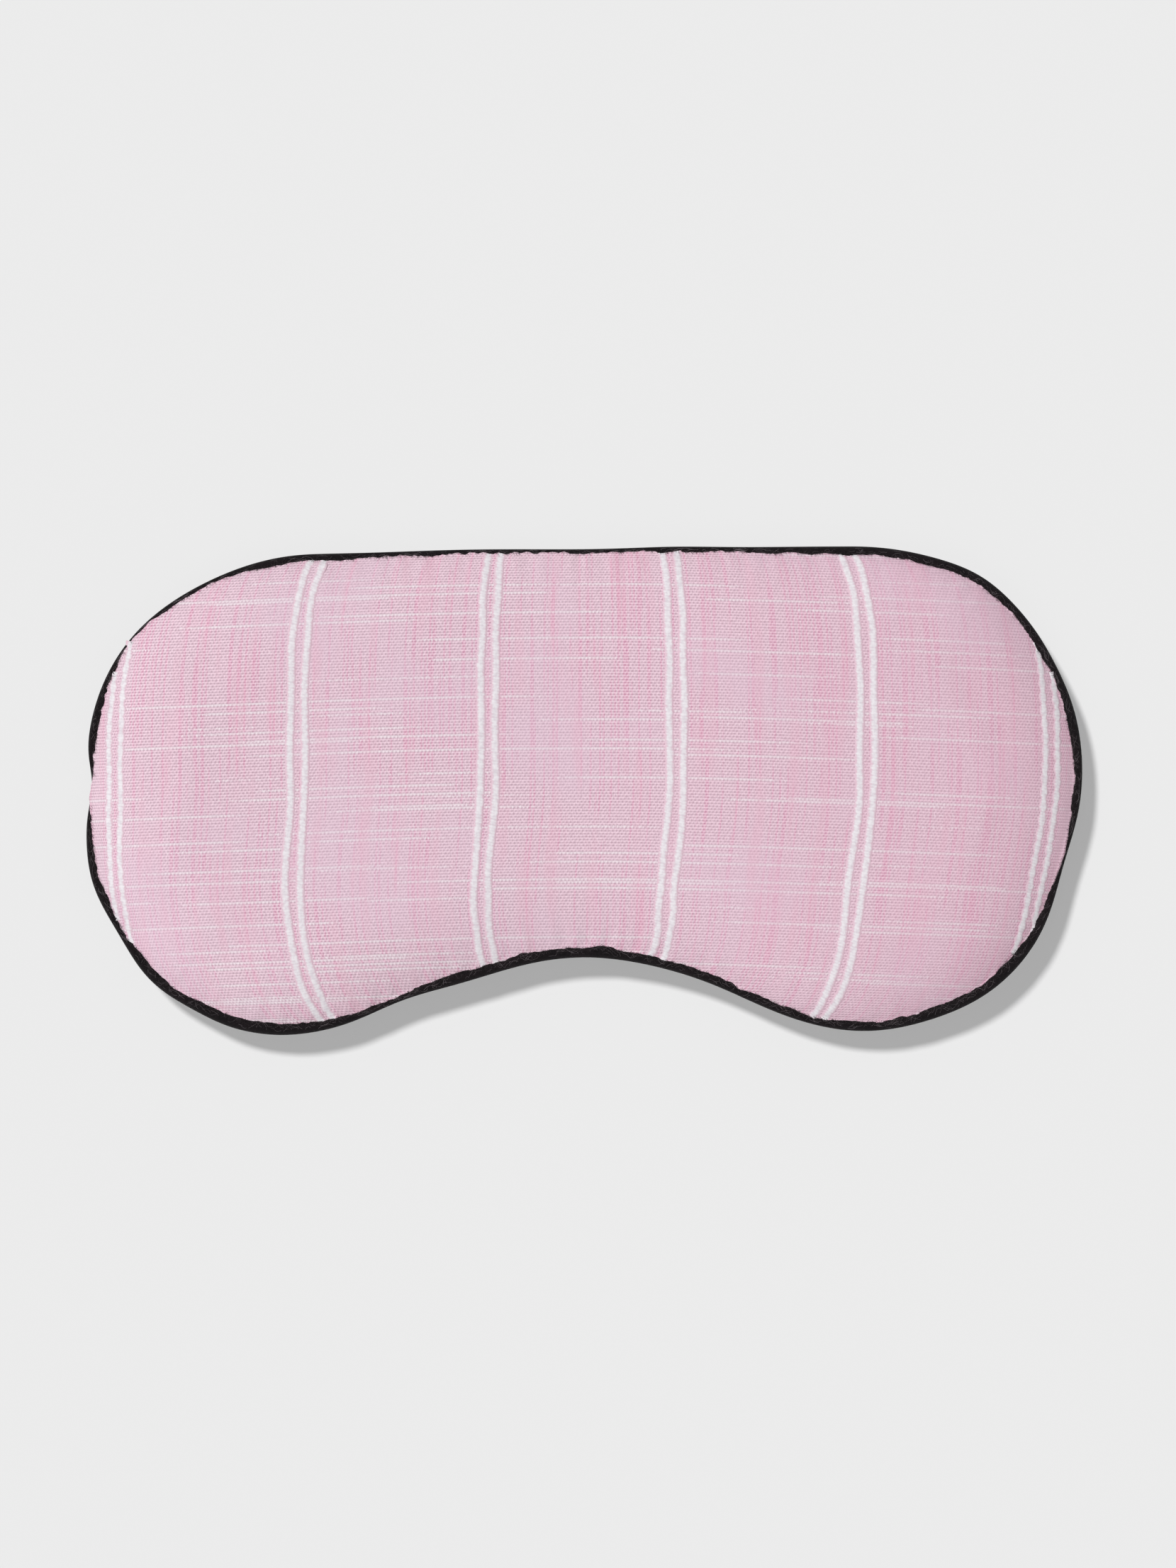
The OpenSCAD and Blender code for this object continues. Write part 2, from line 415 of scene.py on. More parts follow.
class Shader(Tree):
    """A new material's tree, with short forms of the nodes that its patterns repeat."""

    def __init__(self, name: str) -> None:
        """Starts an empty material, named after what it is and how it was made."""
        self.material = bpy.data.materials.new(name)
        self.material.use_nodes = True
        super().__init__(self.material.node_tree)

    def wave(self, value: Any, rate: float, shift: Any = 0.0, kind: str = "COSINE") -> Node:
        """Adds a wave along a value, with its rate and shift in radians."""
        return self.math(kind, self.math("MULTIPLY_ADD", value, rate, shift))

    def place(self) -> Socket:
        """Place on the object, in metres."""
        return add(self.tree, "ShaderNodeTexCoord").outputs["Object"]

    def cloth(self) -> Node:
        """Place on the flat cloth, in metres."""
        return add(self.tree, "ShaderNodeUVMap", uv_map=CLOTH_UV)

    def kept(self, name: str) -> Socket:
        """Value that a geometry tree kept under a name."""
        return add(self.tree, "ShaderNodeAttribute", attribute_name=name).outputs["Fac"]

    def drawn(self, vector: Any, *scale: float) -> Node:
        """Scales a vector along its axes, so that a pattern on it is drawn out."""
        return add(self.tree, "ShaderNodeMapping", {"Vector": vector, "Scale": scale})

    def noise(self, vector: Any, scale: float, detail: float = 2.0, flat: bool = False,
              **more: float) -> Node:
        """Adds noise.

        Args:
            vector: Where it is read.
            scale: Patches per unit of the vector.
            detail: Levels of finer noise in it.
            flat: Whether it reads only the first two parts of the vector.
            **more: Other inputs of the node.

        Returns:
            The node.
        """
        feed = {"Vector": vector, "Scale": scale, "Detail": detail, **more}
        return add(self.tree, "ShaderNodeTexNoise", feed, noise_dimensions="2D" if flat else "3D")

    def span(self, value: Any, low: float, high: float, first: float = 0.0, last: float = 1.0,
             smooth: bool = True) -> Node:
        """Maps one range onto another.

        Args:
            value: What is mapped.
            low: Value that gives the first result.
            high: Value that gives the last result.
            first: Result at low and below.
            last: Result at high and above.
            smooth: Whether it eases in and out.

        Returns:
            The node.
        """
        feed = {0: value, 1: low, 2: high, 3: first, 4: last}
        kind = "SMOOTHSTEP" if smooth else "LINEAR"
        return add(self.tree, "ShaderNodeMapRange", feed, interpolation_type=kind)

    def mix(self, share: Any, first: Any, second: Any) -> Socket:
        """Mixes two colours, each a hex code or a socket."""
        ends = [linear(end) if isinstance(end, str) else end for end in (share, first, second)]
        return add(self.tree, "ShaderNodeMix", dict(zip((0, 6, 7), ends)), data_type="RGBA").outputs[2]

    def tones(self, value: Any, limits: tuple[float, float], dark: str, light: str) -> Socket:
        """Maps a value between two limits onto two colours."""
        return self.mix(self.span(value, *limits, smooth=False), dark, light)

    def finish(self, colour: Any, rough: Any, height: Any = None, bump: float = 0.0, relief: float = 0.0,
               **more: float) -> Material:
        """Ends the tree in a surface.

        Args:
            colour: Its colour.
            rough: Its roughness.
            height: Pattern that it rises by, or None for a smooth one.
            bump: Strength of the rise.
            relief: Height of the rise, in millimetres.
            **more: Other inputs of the shader, with _ for a space in the name.

        Returns:
            The material.
        """
        feed = {"Base Color": colour, "Roughness": rough}
        feed |= {name.replace("_", " "): value for name, value in more.items()}
        if height is not None:
            raised = {"Height": height, "Strength": bump, "Distance": relief * MM}
            feed["Normal"] = add(self.tree, "ShaderNodeBump", raised)
        surface = add(self.tree, "ShaderNodeBsdfPrincipled", feed)
        add(self.tree, "ShaderNodeOutputMaterial", {"Surface": surface})
        return self.material


@dataclass(frozen=True)
class SlubCotton:
    """Plain-woven cotton shirting: pink warp and an uneven, paler weft, with thick places in its yarns.

    The eye gets close rows of pale pink dashes with mauve dots between them, the dots being painted shade in
    the gaps between the yarns, long broken pale lines across where the weft is thick, soft bands of stronger
    pink along the warp, and painted shade that darkens the cloth towards its right side. A tuple gives the
    range over which a feature comes in, and its strength at either end.
    """

    light: str = "#FFE3EF"
    # The gap colours are painted shade in the gaps between the yarns, pinker where a thick warp yarn shows.
    gap: str = "#BFA3B0"
    pink_gap_shade: str = "#C489A3"
    pink_light: str = "#FEDCEA"
    slub_light: str = "#FCF6F9"
    # Painted shade in the gaps of a row where the weft is thick.
    slub_gap_shade: str = "#D3BEC8"
    streak: str = "#F0A8C0"
    haze: str = "#E4CADB"
    # Painted shade: the colour that the cloth darkens towards on its right side, in place of light falling
    # off across the face.
    deep: str = "#D0A1B4"
    warp_pitch: float = 0.382
    weft_pitch: float = 0.597
    warp_run: float = 55.0
    warp_apart: float = 5.771
    warp_thick: tuple[float, float] = (0.55, 0.62)
    weft_run: float = 105.0
    weft_apart: float = 7.313
    weft_broken: float = 0.12
    weft_thick: tuple[float, ...] = (0.7, 0.72, 0.0, 0.68)
    cloud: float = 34.0
    hazy: tuple[float, ...] = (0.45, 0.7, 0.0, 0.3)
    band: float = 3.5
    band_draw: float = 0.1
    streaky: tuple[float, ...] = (0.48, 0.75, 0.0, 0.2)
    # Painted shade ramp: where across the cloth the darkening to the right comes in, and its strength at
    # either end.
    painted_shade_ramp: tuple[float, ...] = (-10 * MM, 100 * MM, 0.1, 0.36)
    wander: float = 0.35
    wander_run: float = 45.0
    row_depth: float = 0.3
    dash_depth: float = 0.155
    dash_turn: float = -0.56
    yarn_depth: float = 0.065
    yarn_turn: float = -2.52
    bead_depth: float = 0.22
    spun_scale: float = 0.9
    uneven: float = 1.15

    def material(self) -> Material:
        """Builds the woven material on the cloth's own coordinates.

        Returns:
            The material.
        """
        s = Shader("cotton_shirting_slub_woven")
        uv = s.cloth()
        x, y, _ = s.split(uv)
        drift = s.noise(uv, per(self.wander_run), 1.0, flat=True)
        sway = s.math("MULTIPLY_ADD", drift, self.wander * MM, -0.5 * self.wander * MM)
        moved = s.math("ADD", y, sway)
        across = s.math("MULTIPLY", x, per(self.warp_pitch))
        up = s.math("MULTIPLY", moved, per(self.weft_pitch))
        row = s.math("FLOOR", up)

        # The weft comes up over every second warp yarn, one yarn further on in the next row, and no two
        # crossings of spun yarn are alike: rows of uneven dashes with dark dots between them. The dark dots
        # are painted shade where the yarns part; the pale dashes are the weft's own colour.
        crossing = s.vector(across, up)
        lot = s.noise(crossing, self.spun_scale, 3.0, flat=True, Roughness=0.7)
        pillow = s.math("MULTIPLY_ADD", lot, self.uneven, 0.5 - 0.5 * self.uneven)
        for way, rate, depth, turn in (
            (up, TAU, -self.row_depth, 0.0),
            (s.math("SUBTRACT", across, up), math.pi, self.dash_depth, 0.0),
            (s.math("ADD", across, up), math.pi, 0.5 * self.dash_depth, self.dash_turn),
            (across, TAU, self.yarn_depth, self.yarn_turn),
        ):
            pillow = s.math("MULTIPLY_ADD", s.wave(way, rate, turn), depth, pillow)

        # Where a warp yarn is thick, a column of pinker dots shows it: the painted shade in the gaps takes
        # the warp's pink there.
        rise = s.math("MULTIPLY", moved, per(self.warp_run))
        column = s.math("MULTIPLY", s.math("FLOOR", across), self.warp_apart)
        cast = s.noise(s.vector(column, rise), 1.0, 3.0, flat=True)
        showing = s.span(cast, *self.warp_thick)
        dots = s.mix(showing, self.gap, self.pink_gap_shade)
        tops = s.mix(showing, self.light, self.pink_light)
        # Mixes from the painted shade in the gaps up to the yarn tops.
        pink = s.mix(pillow, dots, tops)

        # A thick place runs along one weft yarn, so each row reads its own line of noise. It swells between
        # the warp yarns that hold it down, as a row of pale beads.
        bead = s.wave(s.math("ADD", across, row), math.pi)
        plump = s.math("MULTIPLY_ADD", bead, self.bead_depth, pillow)
        # The dark end is painted shade in the gaps of the thick row.
        grey = s.mix(plump, self.slub_gap_shade, self.slub_light)
        run = s.math("MULTIPLY", x, per(self.weft_run))
        seat = s.math("MULTIPLY", row, self.weft_apart)
        line = s.noise(s.vector(run, seat), 1.0, 1.0, flat=True)
        broken = s.math("MULTIPLY_ADD", lot, self.weft_broken, line)
        woven = s.mix(s.span(broken, *self.weft_thick), pink, grey)

        cloud = s.noise(uv, per(self.cloud), 3.0, flat=True)
        hazed = s.mix(s.span(cloud, *self.hazy), woven, self.haze)
        banded = s.noise(s.drawn(uv, 1.0, self.band_draw, 1.0), per(self.band), flat=True)
        streaked = s.mix(s.span(banded, *self.streaky), hazed, self.streak)
        # Painted shade: the cloth darkens from left to right, in place of light falling off across the face.
        colour = s.mix(s.span(x, *self.painted_shade_ramp, smooth=False), streaked, self.deep)
        return s.finish(colour, rough=0.88, height=pillow, bump=0.7, relief=0.05, Sheen_Weight=0.12,
                        Sheen_Roughness=0.5, Specular_IOR_Level=0.2)


@dataclass(frozen=True)
class CordedCotton:
    """Soft white cotton floss woven in as a flat stripe.

    The eye gets a smooth white band, faintly ribbed where the weft holds it, with uneven soft edges.
    """

    pale: str = "#EFEAEE"
    shade: str = "#DBD2D9"
    ground: str = "#E0C0CD"
    rib_pitch: float = 0.597
    rib_lean: float = 1.2
    rib_depth: float = 0.07
    fray: float = 0.7
    ragged: float = -0.7
    edge: tuple[float, float] = (-0.1, 0.5)

    def material(self) -> Material:
        """Builds the floss on its run along the stripe and its place across it.

        Returns:
            The material.
        """
        s = Shader("cotton_floss_white_woven")
        side = s.kept(ACROSS)
        count = s.math("MULTIPLY", s.kept(ALONG), TAU * per(self.rib_pitch))
        rib = s.wave(side, self.rib_lean, count, "SINE")
        rough = s.math("MULTIPLY_ADD", rib, self.rib_depth, s.noise(s.place(), per(self.fray)))
        white = s.tones(rough, (0.25, 0.65), self.shade, self.pale)
        ragged = s.math("MULTIPLY_ADD", rough, self.ragged, s.math("ABSOLUTE", side))
        colour = s.mix(s.span(ragged, *self.edge), white, self.ground)
        return s.finish(colour, rough=0.9, height=rough, bump=0.3, relief=0.06, Sheen_Weight=0.1,
                        Specular_IOR_Level=0.2)


@dataclass(frozen=True)
class BrushedFleece:
    """Polyester fleece with a brushed pile: the eye gets a deep, nearly black nap with paler fibre ends."""

    deep: str = "#080607"
    nap: str = "#1E181B"
    tuft: float = 0.55
    drift: float = 5.0
    drift_share: float = 0.35

    def material(self) -> Material:
        """Builds the napped material.

        Returns:
            The material.
        """
        s = Shader("polyester_fleece_brushed")
        fine = s.noise(s.place(), per(self.tuft), 4.0, Roughness=0.65, Distortion=1.2)
        pile = s.math("MULTIPLY_ADD", s.noise(s.place(), per(self.drift)), self.drift_share, fine)
        colour = s.tones(pile, (0.5, 0.9), self.deep, self.nap)
        return s.finish(colour, rough=0.95, height=pile, bump=0.9, relief=0.25, Sheen_Weight=0.04,
                        Sheen_Roughness=0.4, Specular_IOR_Level=0.15)


@dataclass(frozen=True)
class LooseFibre:
    """Single fibres brushed up from the fleece: the eye gets fine, faintly shiny hairs of uneven tone."""

    name: str
    dark: str
    light: str
    patch: float = 3.0

    def material(self) -> Material:
        """Builds the fibre material.

        Returns:
            The material.
        """
        s = Shader(self.name)
        colour = s.tones(s.noise(s.place(), per(self.patch)), (0.35, 0.65), self.dark, self.light)
        return s.finish(colour, rough=0.6, Specular_IOR_Level=0.3)


@dataclass(frozen=True)
class SpunThread:
    """Spun polyester sewing thread: the eye gets a twisted strand with a slight gloss."""

    name: str
    shade: str
    light: str
    twist: float = 0.45
    twist_depth: float = 0.2
    grain: float = 0.3

    def material(self) -> Material:
        """Builds the twisted material on the thread's run.

        Returns:
            The material.
        """
        s = Shader(self.name)
        wave = s.wave(s.kept(ALONG), TAU * per(self.twist), kind="SINE")
        spun = s.math("MULTIPLY_ADD", wave, self.twist_depth, s.noise(s.place(), per(self.grain)))
        colour = s.tones(spun, (0.25, 0.75), self.shade, self.light)
        return s.finish(colour, rough=0.55, height=spun, bump=0.5, relief=0.05)


@dataclass(frozen=True)
class KnittedElastic:
    """Knitted elastic band: rubber cores under a black yarn. The eye gets fine loops along each rib."""

    deep: str = "#131214"
    light: str = "#343236"
    loop: float = 0.9
    wale: float = 0.7
    loop_depth: float = 0.3
    grain: float = 0.4

    def material(self) -> Material:
        """Builds the knitted material on the band's length and width.

        Returns:
            The material.
        """
        s = Shader("polyester_elastic_knitted")
        sizes = (self.loop, self.wale)
        turns = [s.math("MULTIPLY", axis, TAU * per(size)) for axis, size in zip(s.split(s.cloth()), sizes)]
        legs = [s.math("SINE", s.math(way, *turns)) for way in ("ADD", "SUBTRACT")]
        loops = s.math("MAXIMUM", *legs)
        knit = s.math("MULTIPLY_ADD", loops, self.loop_depth, s.noise(s.place(), per(self.grain)))
        colour = s.tones(knit, (0.2, 0.95), self.deep, self.light)
        return s.finish(colour, rough=0.7, height=knit, bump=0.6, relief=0.12, Specular_IOR_Level=0.3)


@dataclass(frozen=True)
class PolyesterWadding:
    """Carded polyester wadding: the eye gets a soft white mass of crossing fibres."""

    pale: str = "#F2F1EE"
    shade: str = "#CFCDC8"
    patch: float = 2.5

    def material(self) -> Material:
        """Builds the fibrous material.

        Returns:
            The material.
        """
        s = Shader("polyester_wadding_carded")
        fibre = s.noise(s.drawn(s.place(), 1.0, 4.0, 2.0), per(self.patch), 5.0, Distortion=2.0)
        colour = s.tones(fibre, (0.35, 0.6), self.shade, self.pale)
        return s.finish(colour, rough=0.95, height=fibre, bump=0.8, relief=0.4, Sheen_Weight=0.2)


@dataclass(frozen=True)
class BlackoutCloth:
    """Dense woven blackout cloth: the eye gets a flat charcoal face with a fine square grid of yarns."""

    deep: str = "#1C1B1E"
    light: str = "#3B3A3E"
    pitch: float = 0.5

    def material(self) -> Material:
        """Builds the close weave.

        Returns:
            The material.
        """
        s = Shader("polyester_blackout_woven")
        yarns = [s.wave(axis, math.pi * per(self.pitch), kind="SINE") for axis in s.split(s.place())[:2]]
        grid = s.math("MULTIPLY", *yarns)
        colour = s.tones(grid, (-1.0, 1.0), self.deep, self.light)
        return s.finish(colour, rough=0.8, height=grid, bump=0.4, relief=0.05)


class Growth(Tree):
    """A geometry tree with named inputs, and short forms of the nodes that the trees here share."""

    def __init__(self, name: str, sizes: dict[str, float], counts: dict[str, int]) -> None:
        """Starts the tree.

        Args:
            name: Name of the tree.
            sizes: Number inputs and their defaults.
            counts: Whole-number inputs and their defaults.
        """
        super().__init__(bpy.data.node_groups.new(name, "GeometryNodeTree"))
        ends = self.tree.interface
        ends.new_socket("Geometry", in_out="INPUT", socket_type="NodeSocketGeometry")
        for kind, values in (("NodeSocketFloat", sizes), ("NodeSocketInt", counts)):
            for key, value in values.items():
                ends.new_socket(key, in_out="INPUT", socket_type=kind).default_value = value
        ends.new_socket("Finish", in_out="INPUT", socket_type="NodeSocketMaterial")
        ends.new_socket("Geometry", in_out="OUTPUT", socket_type="NodeSocketGeometry")
        self.given = add(self.tree, "NodeGroupInput").outputs

    def put(self, kind: str, feed: dict | None = None, **settings: Any) -> Node:
        """Adds a geometry node by the end of its type's name."""
        return add(self.tree, f"GeometryNode{kind}", feed, **settings)

    def path(self, step: str) -> Node:
        """Turns the given edges into curves with points at an even step, named by its input."""
        curve = self.put("MeshToCurve", {"Mesh": self.given["Geometry"]})
        return self.put("ResampleCurve", {"Curve": curve, "Length": self.given[step]}, mode="LENGTH")

    def mark(self, geometry: Node, name: str, value: Any) -> Node:
        """Keeps a value of each point under a name."""
        feed = {"Geometry": geometry, "Name": name, "Value": value}
        return self.put("StoreNamedAttribute", feed, data_type="FLOAT", domain="POINT")

    def ring(self, sides: Any) -> Node:
        """Adds the round profile of a strand."""
        return self.put("CurvePrimitiveCircle", {"Resolution": sides, "Radius": 1.0})

    def tube(self, curve: Node, ring: Node, radius: Any) -> Node:
        """Sweeps a closed strand along a curve."""
        feed = {"Curve": curve, "Profile Curve": ring, "Scale": radius, "Fill Caps": True}
        return self.put("CurveToMesh", feed)

    def turned(self, rotation: Any, angles: Node) -> Node:
        """Turns a rotation further, about its own axes."""
        feed = {"Rotation": rotation, "Rotate By": add(self.tree, "FunctionNodeEulerToRotation", {0: angles})}
        return add(self.tree, "FunctionNodeRotateRotation", feed, rotation_space="LOCAL")

    def lot(self, low: Any, high: Any, seed: int) -> Socket:
        """Draws a number for each point."""
        feed = {2: low, 3: high, "Seed": seed}
        return add(self.tree, "FunctionNodeRandomValue", feed, data_type="FLOAT").outputs[1]

    def finish(self, made: Node) -> bpy.types.NodeTree:
        """Realizes the result, smooths it and sets its material.

        Args:
            made: Node whose first output is the result.

        Returns:
            The tree.
        """
        real = self.put("RealizeInstances", {"Geometry": made})
        smooth = self.put("SetShadeSmooth", {"Geometry": real})
        done = self.put("SetMaterial", {"Geometry": smooth, "Material": self.given["Finish"]})
        add(self.tree, "NodeGroupOutput", {0: done})
        return self.tree


def strand_tree() -> bpy.types.NodeTree:
    """Builds the tree that sweeps a strand along each path, with beads and ribs in its thickness.

    Returns:
        The tree.
    """
    sizes = {"Radius": 0.5 * MM, "Flatness": 1.0, "Step": 0.3 * MM, "Bead Pitch": 3.6 * MM,
             "Bead Depth": 0.0, "Rib Pitch": 0.6 * MM, "Rib Depth": 0.0}
    g = Growth("laid_strand", sizes, {"Sides": 8})
    even = g.path("Step")
    run = g.put("SplineParameter").outputs["Length"]
    factor: Any = 1.0
    for key in ("Bead", "Rib"):
        angle = g.math("MULTIPLY", g.math("DIVIDE", run, g.given[f"{key} Pitch"]), TAU)
        factor = g.math("MULTIPLY_ADD", g.math("SINE", angle), g.given[f"{key} Depth"], factor)
    radius = g.math("MULTIPLY", factor, g.given["Radius"])
    lift = g.put("InputNamedAttribute", {"Name": LIFT}, data_type="FLOAT_VECTOR")
    upright = g.put("SetCurveNormal", {"Curve": even, "Normal": lift}, mode="FREE")
    named = g.mark(g.ring(g.given["Sides"]), ACROSS, g.split(g.put("InputPosition"))[1])
    squeeze = g.vector(g.given["Flatness"], 1.0, 1.0)
    flat = g.put("Transform", {"Geometry": named, "Scale": squeeze})
    return g.finish(g.tube(g.mark(upright, ALONG, run), flat, radius))


def nap_tree() -> bpy.types.NodeTree:
    """Builds the tree that stands bent fibres on a surface.

    Returns:
        The tree.
    """
    sizes = {"Density": 1e6, "Length": 1.0 * MM, "Slenderness": 0.03, "Lean Min": 0.3, "Lean Max": 1.2}
    g = Growth("brushed_nap", sizes, {"Seed": 1})
    feed = {"Mesh": g.given["Geometry"], "Density": g.given["Density"], "Seed": g.given["Seed"]}
    spots = g.put("DistributePointsOnFaces", feed, distribute_method="RANDOM")
    bend = {"Resolution": 4, "Start": (0, 0, -0.08), "Middle": (0.05, 0.1, 0.55), "End": (0.5, 0, 0.8)}
    fibre = g.tube(g.put("CurveQuadraticBezier", bend), g.ring(3), g.given["Slenderness"])
    lean = g.lot(g.given["Lean Min"], g.given["Lean Max"], 11)
    angles = g.vector(lean, 0.0, g.lot(0.0, TAU, 12))
    scale = g.math("MULTIPLY", g.lot(0.45, 1.25, 13), g.given["Length"])
    turned = g.turned(spots.outputs["Rotation"], angles)
    feed = {"Points": spots, "Instance": fibre, "Rotation": turned, "Scale": scale}
    return g.finish(g.put("InstanceOnPoints", feed))


def stitch_tree() -> bpy.types.NodeTree:
    """Builds the tree that sets arched stitches along a path, each thinner towards its ends.

    Returns:
        The tree.
    """
    sizes = {"Pitch": 2.75 * MM, "Length": 2.2 * MM, "Radius": 0.22 * MM, "Arch": 0.3 * MM, "Turn": 0.0}
    g = Growth("sewn_stitches", sizes, {"Sides": 6})
    even = g.path("Pitch")
    sunk = g.math("MULTIPLY", g.given["Arch"], -0.5)
    start, end = (g.vector(g.math("MULTIPLY", g.given["Length"], half), 0.0, sunk) for half in (-0.5, 0.5))
    middle = g.vector(0.0, 0.0, g.given["Arch"])
    bend = g.put("CurveQuadraticBezier", {"Resolution": 6, "Start": start, "Middle": middle, "End": end})
    spline = g.put("SplineParameter").outputs
    place = g.math("MULTIPLY_ADD", spline["Factor"], 2.0, -1.0)
    round_end = g.math("MULTIPLY_ADD", g.math("MULTIPLY", place, place), -0.75, 1.0)
    radius = g.math("MULTIPLY", round_end, g.given["Radius"])
    stitch = g.tube(g.mark(bend, ALONG, spline["Length"]), g.ring(g.given["Sides"]), radius)
    aimed = add(g.tree, "FunctionNodeAlignRotationToVector", {"Vector": g.put("InputTangent")}, axis="X")
    turned = g.turned(aimed, g.vector(0.0, 0.0, g.given["Turn"]))
    return g.finish(g.put("InstanceOnPoints", {"Points": even, "Instance": stitch, "Rotation": turned}))


@dataclass(frozen=True)
class EdgeEase:
    """One place where the soft edge lies off its paper pattern.

    Args:
        x: Place on the edge.
        y: Place on the edge.
        amount: How far it moves, outwards or wider when positive.
        spread: How far along the edge it fades out.
    """

    x: float
    y: float
    amount: float
    spread: float


# How the soft edge lies: the left lobe sits a little low, and the strap draws in the left side.
LAY = (
    EdgeEase(18, 49.5, 0.4, 12),
    EdgeEase(81, 43.3, 0.7, 9),
    EdgeEase(97, 26.0, -0.4, 9),
    EdgeEase(100, -16.0, -1.6, 12),
    EdgeEase(71, -48.3, -1.0, 13),
    EdgeEase(26, -40.7, -0.7, 13),
    EdgeEase(-37, -45.0, -1.7, 12),
    EdgeEase(-73, -47.6, 0.7, 8),
    EdgeEase(-63, -48.6, 0.4, 8),
    EdgeEase(-88, -37.6, 1.8, 11),
    EdgeEase(-99, -19.0, 1.8, 11),
    EdgeEase(-102.5, 1.0, -1.4, 6),
    EdgeEase(-78, 45.0, -2.2, 21),
    EdgeEase(-47, 50.0, -1.1, 20),
)

# How much of the rolled back shows past the face, against its mean width.
RIM_SHOW = (
    EdgeEase(2, 49.4, -0.7, 34),
    EdgeEase(34, 49.8, -0.3, 6),
    EdgeEase(-34, 50.0, -0.4, 26),
    EdgeEase(-64, 49.4, 0.3, 5),
    EdgeEase(-86, 39.5, -0.8, 24),
    EdgeEase(-94.5, 30.5, -0.5, 5),
    EdgeEase(-102.5, -1.0, -1.35, 7),
    EdgeEase(98.5, 23.0, -0.3, 4),
    EdgeEase(100, 14.0, 0.25, 8),
    EdgeEase(100.5, -15.0, -0.85, 10),
    EdgeEase(80, -44.0, 0.5, 18),
    EdgeEase(90, -35.5, 0.5, 5),
    EdgeEase(-4, -34.6, 0.4, 20),
    EdgeEase(3, -34.6, 0.5, 1.5),
    EdgeEase(-25, -40.0, 0.4, 8),
    EdgeEase(-40, -46.0, -0.6, 8),
    EdgeEase(-70, -48.5, 0.65, 18),
    EdgeEase(-90, -35.0, 0.3, 5),
    EdgeEase(-95, -28.5, -0.35, 5),
)

# Where the face is drawn out over the rim, on the left side.
HEM_OVER = (EdgeEase(-102.4, -2.0, 0.35, 4),)


